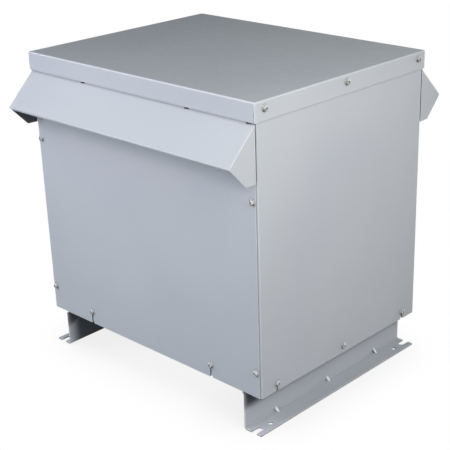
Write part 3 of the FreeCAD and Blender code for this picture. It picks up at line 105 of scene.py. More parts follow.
class Finish:
    # a material or the world while its nodes are being laid
    def __init__(self, owner):
        owner.use_nodes = True
        self.owner = owner
        self.tree = owner.node_tree
        self.tree.nodes.clear()

    def node(self, kind, settings=None, sockets=None, out=0):
        # settings come first, then each socket takes a value or a link; the asked output comes back
        made = self.tree.nodes.new(kind)
        for name, value in (settings or {}).items():
            setattr(made, name, value)
        for name, value in (sockets or {}).items():
            if isinstance(value, Signal):
                self.tree.links.new(value.socket, made.inputs[name])
            elif isinstance(value, tuple) and made.inputs[name].type == "RGBA":
                made.inputs[name].default_value = (*value, 1.0)
            else:
                made.inputs[name].default_value = value
        return Signal(self, made.outputs[out]) if made.outputs else None

    def place(self):
        return self.node("ShaderNodeTexCoord", out="Object")

    def normal(self):
        return self.node("ShaderNodeNewGeometry", out="Normal")

    def apart(self, vector):
        # the three parts of a vector
        made = self.node("ShaderNodeSeparateXYZ", {}, {0: vector})
        return [Signal(self, made.socket.node.outputs[i]) for i in range(3)]

    def stretched(self, where, factors):
        return self.node("ShaderNodeVectorMath", {"operation": "MULTIPLY"}, {0: where, 1: factors})

    def dot(self, first, second):
        return self.node("ShaderNodeVectorMath", {"operation": "DOT_PRODUCT"},
                         {0: first, 1: second}, "Value")

    def sine(self, value):
        return self.node("ShaderNodeMath", {"operation": "SINE"}, {0: value})

    def noise(self, where, scale, detail=3.0, rough=0.5):
        return self.node("ShaderNodeTexNoise", {},
                         {"Vector": where, "Scale": scale, "Detail": detail, "Roughness": rough})

    def fit(self, value, low, high, toLow, toHigh):
        # maps low..high smoothly to toLow..toHigh and holds the ends
        return self.node("ShaderNodeMapRange", {"interpolation_type": "SMOOTHSTEP"},
                         {"Value": value, "From Min": low, "From Max": high,
                          "To Min": toLow, "To Max": toHigh})

    def spread(self, noise, low, high):
        # the middle of a noise's range, spread over low..high
        return self.fit(noise, 0.3, 0.7, low, high)

    def tint(self, mask, first, second):
        return self.node("ShaderNodeMix", {"data_type": "RGBA"}, {0: mask, 6: first, 7: second}, 2)

    def edges(self, radius):
        # the normal with its sharp corners eased over that radius
        return self.node("ShaderNodeBevel", {"samples": 4}, {"Radius": radius})

    def rims(self, eased, share=1.0):
        # up to share along corners and cut edges, where the eased normal leaves the plain one
        return self.fit(self.dot(eased, self.normal()), *shows["rim"], 0.0, share)

    def bends(self, flats):
        # 1 halfway round a fold, 0 on sheet that faces along or against one of the flats
        normal = self.normal()
        facing = [self.dot(normal, flat) for flat in flats]
        nearest = facing[0] * facing[0]
        for other in facing[1:]:
            nearest = nearest.larger(other * other)
        return self.fit(nearest, *shows["fold"], 0.0, 1.0)

    def openness(self, reach, samples=4):
        # 1 on open faces, towards 0 in seams and recesses no wider than reach
        return self.node("ShaderNodeAmbientOcclusion", {"samples": samples}, {"Distance": reach}, "AO")

    def bump(self, height, distance, strength=0.6, normal=None):
        sockets = {"Height": height, "Distance": distance, "Strength": strength}
        if normal:
            sockets["Normal"] = normal
        return self.node("ShaderNodeBump", {}, sockets)

    def surface(self, sockets, dustAndShade=None):
        # the last argument is the share of the face under a matt painted shade, and that shade's colour
        shader = self.node("ShaderNodeBsdfPrincipled", {}, sockets)
        if dustAndShade:
            dustAndShadeLayer = self.node("ShaderNodeBsdfDiffuse", {}, {"Color": dustAndShade[1]})
            shader = self.node("ShaderNodeMixShader", {}, {0: dustAndShade[0], 1: shader, 2: dustAndShadeLayer})
        self.node("ShaderNodeOutputMaterial", {}, {"Surface": shader})
        return self.owner


def startFinish(name):
    return Finish(bpy.data.materials.new(name))


# Finishes of the enclosure; grain, clouds and noises are given per metre

enamel = {
    "colour": (0.445, 0.479, 0.521),    # light grey as baked
    "thin": (0.415, 0.450, 0.496),      # the same paint where it lies a little thinner
    "drift": 2.6,                       # clouds of the tint
    "grain": 1400.0,                    # powder grain
    "fleck": (0.30, 0.33, 0.37),        # its darker flecks
    "fleckShare": 0.10,
    "peel": 420.0,                      # orange peel
    "peelGrain": 0.3,                   # how much the grain shows in its relief
    "peelDepth": 0.00005,
    "wear": 60.0,                       # patches of more and less gloss
    "gloss": (0.40, 0.50),
    "mirror": 0.3,                      # how strongly it mirrors, 0.5 for bare glass
    "edge": 0.0020,                     # radius over which corners are eased
    "bend": (0.86, 0.90, 0.93),         # painted highlight along folds and cut edges
    "bendShare": 0.30,
    "uprightHighlightShare": 0.3,                # share of the painted highlight on upright folds
    "edgeHighlightShare": 1.0,                   # how far corners and cut edges take the painted highlight
    "seamShade": (0.045, 0.050, 0.060),      # painted shade in joints and at the rims of holes
    "seamReach": 0.006,
    "seamShadeShare": 0.85,
    "railSeamShadeShare": 0.595,
    "inner": (0.085, 0.094, 0.108),     # painted shade on faces that look inwards, under the body and inside the hoods
    "innerShadeShare": 0.96,
    "railEnd": (0.210, 0.243),          # the painted shade on the inner face of a rail fades out between here and its end
    "railTop": (0.08, 0.10),            # but above these heights every inner face keeps its painted shade
    "railPaintedLight": 1.05,                   # painted light: the rails' copy of the same paint is this much lighter
    "ribs": 0.157,                      # how far the outer ribs of a rail are from its middle
    "ribHalf": 0.0042,                  # half the width of a rib
    # painted highlight on the rib ridges, as a multiple of the fold share
    "ribHighlight": 2.6,
    # painted shade on the rails: it grows between the first two heights and stops between the last two
    "overhang": (0.036, 0.057, 0.0796, 0.08),
    "overhangEnd": (0.232, 0.250),      # and it thins out between here and their ends
    "endShade": 0.5,                    # to this share
}
squareFlats = ((1.0, 0.0, 0.0), (0.0, 1.0, 0.0), (0.0, 0.0, 1.0))
slopedFlats = ((0.0, 0.7071, 0.7071), (0.0, -0.7071, 0.7071))


def greyEnamel(name, flats, rail=False):
    # on a rail only the ribs get the painted highlight, and the painted seam shade shows less
    finish = startFinish(name)
    where = finish.place()
    across, deep, up = finish.apart(where)
    far = (deep * deep) ** 0.5          # from the middle, to the front or the rear
    normal = finish.apart(finish.normal())
    near = finish.openness(enamel["seamReach"])
    eased = finish.edges(enamel["edge"])

    # painted light on the rails: the same paint, made lighter
    paintedLight = enamel["railPaintedLight"] if rail else 1.0
    base, thin = (tuple(c * paintedLight for c in enamel[key]) for key in ("colour", "thin"))
    cloud = finish.fit(finish.noise(where, enamel["drift"], 2.0), 0.35, 0.65, 0.0, 1.0)
    grain = finish.noise(where, enamel["grain"], 2.0)
    colour = finish.tint(cloud, base, thin)
    colour = finish.tint(finish.fit(grain, 0.55, 0.75, 0.0, enamel["fleckShare"]), colour, enamel["fleck"])

    # painted highlight along folds, weaker on upright ones
    level = finish.fit(normal[2] * normal[2], 0.0, 0.1, enamel["uprightHighlightShare"], 1.0)
    foldHighlight = finish.bends(flats) * level * enamel["bendShare"]
    if rail:
        # painted highlight only on the ribs: one rib stands at the middle, the others on both sides of it
        square = enamel["ribHalf"] ** 2
        middleRib, outerRibs = (finish.fit(gap * gap, square, 1.3 * square, enamel["ribHighlight"], 0.0)
                                for gap in (deep, far - enamel["ribs"]))
        foldHighlight = foldHighlight * (middleRib + outerRibs)
    # the painted highlight also takes corners and cut edges, and stays out of seams
    paintedHighlight = foldHighlight.larger(finish.rims(eased, enamel["edgeHighlightShare"])) * finish.fit(near, 0.8, 0.98, 0.0, 1.0)
    colour = finish.tint(paintedHighlight, colour, enamel["bend"])
    # painted shade darkens seams, recesses and the rims of holes
    seamShadeShare = enamel["railSeamShadeShare"] if rail else enamel["seamShadeShare"]
    colour = finish.tint(finish.fit(near, 0.35, 0.92, seamShadeShare, 0.0), colour, enamel["seamShade"])

    # painted shade on faces that look in towards the middle and under the body, and under the overhang on
    # the rails
    inwardShade = finish.fit(across * normal[0] + deep * normal[1], -0.02, 0.0, enamel["innerShadeShare"], 0.0)
    under = finish.fit(far, *enamel["railEnd"], 1.0, 0.0)
    inwardShade = inwardShade * under.larger(finish.fit(up, *enamel["railTop"], 0.0, 1.0))
    start, full, stop, clear = enamel["overhang"]
    shade = finish.fit(up, start, full, 0.0, enamel["innerShadeShare"]) * finish.fit(up, stop, clear, 1.0, 0.0)
    shade = shade * finish.fit(far, *enamel["overhangEnd"], 1.0, enamel["endShade"])
    peel = finish.noise(where, enamel["peel"], 2.0) + enamel["peelGrain"] * grain
    return finish.surface({
        "Base Color": colour,
        "Roughness": finish.spread(finish.noise(where, enamel["wear"], 3.0), *enamel["gloss"]),
        "Specular IOR Level": enamel["mirror"],
        "Normal": finish.bump(peel, enamel["peelDepth"], 0.5, eased),
    }, (inwardShade.larger(shade), enamel["inner"]))


zinc = {
    "bright": (0.94, 0.95, 0.96),
    "dull": (0.76, 0.77, 0.79),
    "spots": 700.0,
    "below": (0.08, 0.083, 0.09),       # painted shade on faces that look down
    "rim": (0.95, 0.95, 0.96),          # painted highlight along its edges
    "rimHighlightWide": 0.0008,                  # radius over which they are eased
    "recessShade": (0.035, 0.036, 0.040),    # painted shade in the slot, the dish and under the head
    "recessReach": 0.0055,
    "recessFrom": (0.60, 0.92),         # openness between which the painted shade thins out
    "gloss": (0.18, 0.38),
    "dullGloss": 0.1,                   # added roughness of fully dull zinc
    "metal": 0.5,
    "scratch": 2600.0,
    "scratchDepth": 0.00002,
}


def plainZinc(name, dull):
    finish = startFinish(name)
    where = finish.place()
    spots = finish.noise(where, zinc["spots"], 4.0, 0.6)
    lines = finish.noise(finish.stretched(where, (1.0, 1.0, 0.2)), zinc["scratch"], 2.0)
    smooth, rough = zinc["gloss"]
    colour = finish.tint(finish.fit(spots, 0.4, 0.8, 0.0, 1.0) * dull, zinc["bright"], zinc["dull"])
    # painted shade on faces that look down
    down = finish.fit(finish.apart(finish.normal())[2], -0.4, 0.4, 1.0, 0.0)
    colour = finish.tint(down, colour, zinc["below"])
    # painted highlight along the edges
    colour = finish.tint(finish.rims(finish.edges(zinc["rimHighlightWide"])), colour, zinc["rim"])
    # painted shade in the slot, the dish and under the head
    recessShade = finish.fit(finish.openness(zinc["recessReach"]), *zinc["recessFrom"], 1.0, 0.0)
    return finish.surface({
        "Base Color": finish.tint(recessShade, colour, zinc["recessShade"]),
        "Metallic": zinc["metal"],
        "Roughness": finish.spread(spots * 0.5 + lines * 0.5, smooth, rough + zinc["dullGloss"] * dull),
        "Normal": finish.bump(lines, zinc["scratchDepth"]),
    })


# Finishes of the core and windings

coreSteel = {
    "varnish": (0.075, 0.062, 0.052), "bare": (0.20, 0.19, 0.18),
    "sheet": 0.0005,        # thickness of one sheet, in metres
    "wander": 0.0006,       # how far their edges stray
    "mottle": 45.0, "gloss": (0.32, 0.55), "metal": 0.35, "depth": 0.00008,
}


def laminatedSteel():
    # sheets stacked along Y: their edges show as fine lines on every face but the front and rear ones
    finish = startFinish("varnished core sheets")
    where = finish.place()
    along = finish.apart(where)[1] + finish.noise(where, 30.0, 2.0) * coreSteel["wander"]
    line = finish.sine(along * (2 * math.pi / coreSteel["sheet"]))
    facing = finish.apart(finish.normal())[1]
    edge = 1 - finish.fit(facing * facing, 0.4, 0.8, 0.0, 1.0)
    mottle = finish.noise(where, coreSteel["mottle"], 4.0)
    mask = finish.fit(mottle, 0.45, 0.75, 0.0, 0.6) + edge * finish.fit(line, -1.0, 1.0, 0.0, 0.3)
    return finish.surface({
        "Base Color": finish.tint(mask, coreSteel["varnish"], coreSteel["bare"]),
        "Roughness": finish.spread(mottle, *coreSteel["gloss"]),
        "Metallic": coreSteel["metal"],
        "Normal": finish.bump(line * edge + mottle, coreSteel["depth"]),
    })


primer = {"colour": (0.022, 0.024, 0.027), "pale": (0.040, 0.042, 0.046), "mottle": 35.0,
          "gloss": (0.45, 0.62), "grain": 900.0, "depth": 0.00006, "edge": 0.0012}


def clampPaint():
    finish = startFinish("dark clamp primer")
    where = finish.place()
    mottle = finish.noise(where, primer["mottle"], 4.0)
    grain = finish.noise(where, primer["grain"], 2.0)
    worn = finish.fit(mottle, 0.35, 0.7, 0.0, 1.0)
    return finish.surface({
        "Base Color": finish.tint(worn, primer["colour"], primer["pale"]),
        "Roughness": finish.spread(mottle, *primer["gloss"]),
        "Normal": finish.bump(grain, primer["depth"], 0.6, finish.edges(primer["edge"])),
    })


rubber = {"colour": (0.010, 0.010, 0.010), "bloom": (0.030, 0.030, 0.031), "clouds": 60.0,
          "gloss": (0.62, 0.82), "grain": 1500.0, "depth": 0.00006, "edge": 0.001}


def mouldedRubber():
    finish = startFinish("moulded black rubber")
    where = finish.place()
    bloom = finish.noise(where, rubber["clouds"], 5.0, 0.6)
    grain = finish.noise(where, rubber["grain"], 2.0)
    dustAndShade = finish.fit(bloom, 0.45, 0.75, 0.0, 1.0)
    return finish.surface({
        "Base Color": finish.tint(dustAndShade, rubber["colour"], rubber["bloom"]),
        "Roughness": finish.spread(bloom, *rubber["gloss"]),
        "Normal": finish.bump(grain, rubber["depth"], 0.5, finish.edges(rubber["edge"])),
    })


board = {"pale": (0.36, 0.23, 0.105), "brown": (0.22, 0.125, 0.05), "fibres": 700.0, "stain": 14.0,
         "gloss": (0.6, 0.78), "depth": 0.0001}


def pressboard():
    finish = startFinish("pressboard")
    where = finish.place()
    fibres = finish.noise(finish.stretched(where, (1.0, 1.0, 0.25)), board["fibres"], 4.0, 0.6)
    stain = finish.noise(where, board["stain"], 3.0)
    mask = finish.fit(fibres * 0.6 + stain * 0.4, 0.35, 0.65, 0.0, 1.0)
    return finish.surface({
        "Base Color": finish.tint(mask, board["pale"], board["brown"]),
        "Roughness": finish.spread(fibres, *board["gloss"]),
        "Normal": finish.bump(fibres, board["depth"]),
    })


windings = {
    # turn is the height of one band; depth is a share of it
    "foil winding": {"light": (0.44, 0.38, 0.30), "dark": (0.17, 0.11, 0.06), "turn": 0.0022,
                     "gloss": (0.34, 0.52), "metal": 0.55, "depth": 0.08},
    "varnished wrap": {"light": (0.26, 0.115, 0.035), "dark": (0.085, 0.032, 0.010), "turn": 0.019,
                       "gloss": (0.28, 0.46), "metal": 0.0, "depth": 0.08},
}


def windingWrap(name):
    # bands across Z: one for each turn or strip, with varnish that pooled between them
    look = windings[name]
    turn = look["turn"]
    finish = startFinish(name)
    where = finish.place()
    height = finish.apart(where)[2] + finish.noise(where, 18.0, 2.0) * (turn * 0.35)
    wave = finish.sine(height * (2 * math.pi / turn))
    groove = finish.fit(wave, -1.0, -0.55, 1.0, 0.0)
    run = finish.noise(finish.stretched(where, (1.0, 1.0, 0.3)), 40.0, 4.0, 0.6)
    weave = finish.noise(where, 1600.0, 2.0)
    mask = groove * 0.55 + finish.fit(run, 0.4, 0.75, 0.0, 0.6)
    return finish.surface({
        "Base Color": finish.tint(mask, look["light"], look["dark"]),
        "Roughness": finish.spread(run, *look["gloss"]),
        "Metallic": look["metal"],
        "Normal": finish.bump(wave * 0.6 + weave * 0.2, turn * look["depth"], 0.7),
    })


laminates = {
    "glass laminate": {"light": (0.50, 0.42, 0.19), "dark": (0.34, 0.26, 0.10)},
    "red laminate": {"light": (0.24, 0.030, 0.018), "dark": (0.13, 0.014, 0.009)},
    "threads": 4200.0, "clouds": 90.0, "gloss": (0.32, 0.5), "depth": 0.00005, "edge": 0.0006,
}


def wovenLaminate(name):
    finish = startFinish(name)
    where = finish.place()
    first, second, third = finish.apart(where)
    cloth = finish.sine(first * laminates["threads"]) * finish.sine((second + third) * laminates["threads"])
    cloud = finish.noise(where, laminates["clouds"], 4.0)
    mask = finish.fit(cloth, -1.0, 1.0, 0.0, 0.35) + finish.fit(cloud, 0.35, 0.7, 0.0, 0.5)
    return finish.surface({
        "Base Color": finish.tint(mask, laminates[name]["light"], laminates[name]["dark"]),
        "Roughness": finish.spread(cloud, *laminates["gloss"]),
        "Normal": finish.bump(cloth + cloud, laminates["depth"], 0.5, finish.edges(laminates["edge"])),
    })


lead = {"colour": (0.012, 0.012, 0.013), "dustAndShadeLayer": (0.045, 0.043, 0.040), "clouds": 120.0, "braid": 3600.0,
        "gloss": (0.42, 0.6), "depth": 0.0001}


def sleevedLead():
    finish = startFinish("black sleeved lead")
    where = finish.place()
    first, second, third = finish.apart(where)
    slants = [(first + second + third) * lead["braid"], (first + second - third) * lead["braid"]]
    braid = finish.sine(slants[0]) * finish.sine(slants[1])
    dustAndShadeLayer = finish.fit(finish.noise(where, lead["clouds"], 4.0), 0.45, 0.8, 0.0, 1.0)
    return finish.surface({
        "Base Color": finish.tint(dustAndShadeLayer, lead["colour"], lead["dustAndShadeLayer"]),
        "Roughness": finish.fit(braid, -1.0, 1.0, *lead["gloss"]),
        "Normal": finish.bump(braid, lead["depth"]),
    })


metals = {
    # stretch draws the lines out along the bar
    "mill aluminium bar": {"light": (0.80, 0.80, 0.81), "dark": (0.58, 0.58, 0.60), "gloss": (0.24, 0.46),
                           "stretch": (1.0, 1.0, 0.1)},
    "machined brass": {"light": (0.78, 0.55, 0.22), "dark": (0.48, 0.31, 0.11), "gloss": (0.20, 0.42),
                       "stretch": (1.0, 1.0, 1.0)},
    "bare copper": {"light": (0.83, 0.42, 0.25), "dark": (0.38, 0.16, 0.09), "gloss": (0.24, 0.46),
                    "stretch": (0.1, 1.0, 1.0)},
    "lines": 1800.0, "stain": 55.0, "depth": 0.00004, "edge": 0.0006,
}


def drawnMetal(name):
    # bar stock with fine draw lines along its length
    look = metals[name]
    finish = startFinish(name)
    where = finish.place()
    lines = finish.noise(finish.stretched(where, look["stretch"]), metals["lines"], 3.0, 0.6)
    stain = finish.noise(where, metals["stain"], 4.0, 0.6)
    return finish.surface({
        "Base Color": finish.tint(finish.fit(stain, 0.4, 0.75, 0.0, 1.0), look["light"], look["dark"]),
        "Metallic": 1.0,
        "Roughness": finish.spread(lines * 0.5 + stain * 0.5, *look["gloss"]),
        "Normal": finish.bump(lines, metals["depth"], 0.6, finish.edges(metals["edge"])),
    })


finishes = {
    "grey_enamel": greyEnamel("grey enamel", squareFlats),
    "clamp_paint": clampPaint(),
    "zinc_screws": plainZinc("bright zinc", 0.35),
    "zinc_bolts": plainZinc("dull zinc", 0.9),
    "black_rubber": mouldedRubber(),
    "core_steel": laminatedSteel(),
    "pressboard": pressboard(),
    "aluminium_foil_winding": windingWrap("foil winding"),
    "varnished_wrap": windingWrap("varnished wrap"),
    "glass_laminate": wovenLaminate("glass laminate"),
    "red_laminate": wovenLaminate("red laminate"),
    "black_lead": sleevedLead(),
    "aluminium_bar": drawnMetal("mill aluminium bar"),
    "brass_hardware": drawnMetal("machined brass"),
    "copper_earth": drawnMetal("bare copper"),
}
hoodEnamel = greyEnamel("grey enamel of the hoods", squareFlats + slopedFlats)
railEnamel = greyEnamel("grey enamel of the rails", squareFlats, True)
slotOf = {part["node"]: part["material_slot"] for part in frame["record"]["subparts"]}
for name, piece in nodes.items():
    piece.data.materials.clear()
    coat = finishes[slotOf[name]]
    if name.endswith("_weather_shield"):
        coat = hoodEnamel
    if name.endswith("_base_rail"):
        coat = railEnamel
    piece.data.materials.append(coat)
print("finishes laid on", len(nodes), "CAD pieces")


# Screws, bolts, nuts and studs, each placed where the CAD has one

def boxOf(points):
    return [Vector([pick(point[i] for point in points) for i in range(3)]) for pick in (min, max)]


def looseSolids(name):
    # the points of each separate solid in a CAD node, in a settled order
    work = bmesh.new()
    work.from_mesh(nodes[name].data)
    bmesh.ops.remove_doubles(work, verts=work.verts, dist=0.000002)
    left = set(work.verts)
    found = []
    while left:
        island = [left.pop()]
        for vert in island:
            for edge in vert.link_edges:
                other = edge.other_vert(vert)
                if other in left:
                    left.remove(other)
                    island.append(other)
        found.append([v.co.copy() for v in island])
    work.free()
    return sorted(found, key=lambda points: tuple(round(c, 5) for c in boxOf(points)[0]))


def axisOf(points, pick):
    # the axis along which a solid is longest, with max, or shortest, with min
    low, high = boxOf(points)
    return pick(range(3), key=lambda i: high[i] - low[i])


def circleRing(radius, height, count):
    turn = 2 * math.pi / count
    angles = [i * turn for i in range(count)]
    return [Vector((radius * math.cos(angle), radius * math.sin(angle), height)) for angle in angles]


def hexRing(flats, height, count, limit=1.0):
    # a hexagon's outline, held inside a circle of radius limit
    ring = []
    for i in range(count):
        angle = 2 * math.pi * i / count
        fromFlat = (angle % (math.pi / 3)) - math.pi / 6
        radius = min(flats / 2 / math.cos(fromFlat), limit)
        ring.append(Vector((radius * math.cos(angle), radius * math.sin(angle), height)))
    return ring


def skinRings(work, rings, bored=False):
    # a closed skin over rings of as many points each: capped at both ends, or bored, back to the first ring
    loops = [[work.verts.new(point) for point in ring] for ring in rings]
    count = len(loops[0])
    nextLoops = loops[1:] + loops[:1] if bored else loops[1:]
    for lower, upper in zip(loops, nextLoops):
        for i in range(count):
            j = (i + 1) % count
            work.faces.new((lower[i], lower[j], upper[j], upper[i]))
    if not bored:
        work.faces.new(loops[0][::-1])
        work.faces.new(loops[-1])


thread = {
    "columns": 16,          # faces round a rod
    "overlap": 0.0002,      # how far a thread reaches into its head
    "depthShare": 0.08,     # depth and pitch of bolts and studs, as shares of their size
    "pitchShare": 0.16,
}


def threadedRod(work, size, depth, pitch, low, high):
    # crest and root rows climb a pitch in each turn and fade into the root at both ends
    columns = thread["columns"]

    def point(row, column):
        height = low + (row / 2 + column / columns) * pitch
        height = min(max(height, low), high)
        fade = min(1.0, (height - low) / pitch, (high - height) / pitch)
        radius = size / 2 - depth * (1 - (fade if row % 2 == 0 else 0.0))
        angle = 2 * math.pi * column / columns
        return Vector((radius * math.cos(angle), radius * math.sin(angle), height))

    rows = range(-2, int(2 * (high - low) / pitch) + 2)
    grid = {(r, c): work.verts.new(point(r, c)) for r in rows for c in range(columns)}
    for row in rows[:-1]:
        for column in range(columns):
            shift, beside = (2, 0) if column == columns - 1 else (0, column + 1)
            corners = [(row, column), (row + shift, beside), (row + 1 + shift, beside), (row + 1, column)]
            if all(corner in grid for corner in corners):
                work.faces.new([grid[corner] for corner in corners])
    bmesh.ops.remove_doubles(work, verts=list(grid.values()), dist=0.0000001)
    bmesh.ops.holes_fill(work, edges=[e for e in work.edges if e.is_boundary])


def meshOf(name, work):
    bmesh.ops.recalc_face_normals(work, faces=work.faces)
    data = bpy.data.meshes.new(name)
    work.to_mesh(data)
    work.free()
    return data


def cutWith(body, tool):
    # the body's mesh less the tool's
    solid = bpy.data.objects.new("body", body)
    knife = bpy.data.objects.new("knife", tool)
    for piece in (solid, knife):
        bpy.context.scene.collection.objects.link(piece)
    boolean = solid.modifiers.new("cut", "BOOLEAN")
    boolean.operation = "DIFFERENCE"
    boolean.solver = "EXACT"
    boolean.object = knife
    bpy.context.view_layer.update()
    result = bpy.data.meshes.new_from_object(solid.evaluated_get(bpy.context.evaluated_depsgraph_get()))
    for piece in (solid, knife):
        bpy.data.objects.remove(piece)
    return result


def addCopy(work, single, matrix):
    before = len(work.verts)
    work.from_mesh(single)
    work.verts.ensure_lookup_table()
    bmesh.ops.transform(work, matrix=matrix, verts=work.verts[before:])


sharpFrom = math.radians(35)        # edges bent further than this are not smoothed


def addPiece(name, work, slot, replaced):
    data = meshOf(name, work)
    data.materials.append(finishes[slot])
    piece = bpy.data.objects.new(name, data)
    bpy.context.scene.collection.objects.link(piece)
    data.shade_smooth()
    data.set_sharp_from_angle(angle=sharpFrom)
    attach(piece, "root")
    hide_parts(*replaced)


screw = {
    "washer": 0.0134, "washerThick": 0.0013, "dish": 0.0012,
    "flats": 0.0095, "height": 0.0036, "chamfer": 0.0005, "fillet": 0.0002,
    "slotWide": 0.0015, "slotDeep": 0.0014,
    "shank": 0.0062, "threadDepth": 0.0006, "pitch": 0.0018, "length": 0.016,
    "point": 0.003, "pointTaper": 0.6,
    # the washer's edge: how far each ring is out from it, and its height
    "edge": ((-0.0003, 0.0), (0.0, 0.0003), (-0.0001, 0.0007), (-0.0006, 0.0010)),
    # the hexagon's top: how many chamfers each ring is below it, and how far out from a corner
    "crown": ((1.0, -0.0001), (0.6, -0.0003), (0.2, -0.0006)),
    "sides": 48,
    "turn": 137.5,          # degrees from one screw's slot to the next one's
}


def screwMesh():
    # washer face, slotted hexagon and thread, standing on the XY plane with its head up
    sides, flats, chamfer, fillet = (screw[key] for key in ("sides", "flats", "chamfer", "fillet"))
    rim = screw["washer"] / 2
    foot, top = screw["washerThick"], screw["washerThick"] + screw["height"]
    corner = flats / math.sqrt(3)
    rings = [circleRing(rim + out, height, sides) for out, height in screw["edge"]]
    rings += [circleRing(corner + fillet, foot, sides), hexRing(flats, foot + fillet, sides)]
    rings += [hexRing(flats, top - below * chamfer, sides, corner + out) for below, out in screw["crown"]]
    rings += [circleRing(flats / 2 - fillet, top, sides), circleRing(0.6 * flats / 2, top, sides),
              circleRing(0.45 * flats / 2, top - screw["dish"], sides)]
    head = bmesh.new()
    skinRings(head, rings)
    cutter = bmesh.new()
    bmesh.ops.create_cube(cutter, size=1.0)
    scale = Matrix.Diagonal((screw["washer"], screw["slotWide"], 2 * screw["slotDeep"], 1.0))
    bmesh.ops.transform(cutter, matrix=Matrix.Translation((0, 0, top)) @ scale, verts=cutter.verts)
    work = bmesh.new()
    work.from_mesh(cutWith(meshOf("screw head", head), meshOf("screwdriver slot", cutter)))
    rod = bmesh.new()
    length = screw["length"]
    threadedRod(rod, screw["shank"], screw["threadDepth"], screw["pitch"], -length, thread["overlap"])
    for vert in rod.verts:
        tip = max(0.0, -length + screw["point"] - vert.co.z) / screw["point"]
        vert.co.xy = vert.co.xy * (1 - screw["pointTaper"] * tip)
    work.from_mesh(meshOf("screw thread", rod))
    return meshOf("screw", work)


def screwSeats(name):
    # each screw's seat and the way out of its head; the long side of its box is its axis
    headHeight = screw["washerThick"] + screw["height"]
    seats = []
    for points in looseSolids(name):
        low, high = boxOf(points)
        axis = axisOf(points, max)
        side = 1 if low[axis] + high[axis] > 0 else -1
        seat = (low + high) / 2
        seat[axis] = (high[axis] if side > 0 else low[axis]) - side * headHeight
        out = Vector((0, 0, 0))
        out[axis] = side
        seats.append((seat, out))
    return seats


def enclosureScrews():
    single = screwMesh()
    names = {"cover_screws": "coverScrews", "panel_screws": "panelScrews",
             "side_panel_screws": "sidePanelScrews", "shield_screws": "shieldScrews"}
    for node, name in names.items():
        work = bmesh.new()
        for index, (seat, out) in enumerate(screwSeats(node)):
            spin = Matrix.Rotation(math.radians(screw["turn"] * (index + 1)), 4, "Z")
            stand = out.to_track_quat("Z", "Y").to_matrix().to_4x4()
            addCopy(work, single, Matrix.Translation(seat) @ stand @ spin)
        addPiece(name, work, "zinc_screws", [node])
    print("enclosure screws made")


hexWork = {
    "sides": 48,
    "washerFace": 0.0004,
    "chamfer": 0.12,        # of the height of the hexagon
    "dish": 0.2,            # of its width over flats
    "mouth": 0.06,          # chamfer of a nut's bore, of its size
    "mouthWide": 1.08,
}


def hexRings(flats, high):
    # a hexagon chamfered at its top, on a thin washer face
    sides, face = hexWork["sides"], hexWork["washerFace"]
    corner = flats / math.sqrt(3)
    cut = hexWork["chamfer"] * high
    return [
        circleRing(0.47 * flats, 0.0, sides),
        circleRing(0.475 * flats, face, sides),
        hexRing(flats, face * 1.05, sides, 0.985 * corner),
        hexRing(flats, high - cut, sides, corner),
        hexRing(flats, high - 0.4 * cut, sides, 0.95 * corner),
        circleRing(0.49 * flats, high - 0.05 * cut, sides),
        circleRing(0.46 * flats, high, sides),
    ]


def rodMesh(size, low, high):
    rod = bmesh.new()
    threadedRod(rod, size, thread["depthShare"] * size, thread["pitchShare"] * size, low, high)
    return meshOf("rod", rod)


def boltMesh(flats, high, size, length):
    head = bmesh.new()
    skinRings(head, hexRings(flats, high) + [circleRing(hexWork["dish"] * flats, high, hexWork["sides"])])
    work = bmesh.new()
    work.from_mesh(meshOf("bolt head", head))
    work.from_mesh(rodMesh(size, -length, thread["overlap"]))
    return meshOf("bolt", work)


def nutMesh(flats, high, size):
    # hexagon outside, bored inside
    sides, bore = hexWork["sides"], 0.5 * size
    mouth, mouthWide = hexWork["mouth"] * size, hexWork["mouthWide"] * bore
    rings = hexRings(flats, high)
    rings += [circleRing(mouthWide, high, sides), circleRing(bore, high - mouth, sides),
              circleRing(bore, mouth, sides), circleRing(mouthWide, 0.0, sides)]
    work = bmesh.new()
    skinRings(work, rings, True)
    return meshOf("nut", work)


def measured(points, axis):
    # a fastener as the CAD has it: centre line, ends, which end is wide, its sizes and a corner's angle
    low, high = boxOf(points)
    middle = (low + high) / 2
    first, second = [(axis + 1) % 3, (axis + 2) % 3]
    spots = []
    for point in points:
        across = (point[first] - middle[first], point[second] - middle[second])
        spots.append((math.hypot(*across), point[axis], math.atan2(across[1], across[0])))
    widest = max(spots)
    tight = min(spot[0] for spot in spots)
    wide = [spot[1] for spot in spots if spot[0] > 0.5 * (widest[0] + tight)]
    return {"middle": middle, "axis": axis, "low": low[axis], "high": high[axis],
            "flats": widest[0] * math.sqrt(3), "size": 2 * tight, "widest": 2 * widest[0],
            "angle": widest[2], "headLow": min(wide), "headHigh": max(wide)}


def intoPlace(work, single, fastener, foot, side):
    # the single piece stands on the XY plane with +Z out of its head
    axis = fastener["axis"]
    columns = [Vector((0, 0, 0)) for i in range(3)]
    for i, other in enumerate(((axis + 1) % 3, (axis + 2) % 3, axis)):
        columns[i][other] = 1.0
    if side < 0:
        columns[1], columns[2] = -columns[1], -columns[2]
    stand = Matrix(columns).transposed().to_4x4()
    seat = fastener["middle"].copy()
    seat[axis] = foot
    spin = Matrix.Rotation(fastener["angle"] * side, 4, "Z")
    addCopy(work, single, Matrix.Translation(seat) @ stand @ spin)


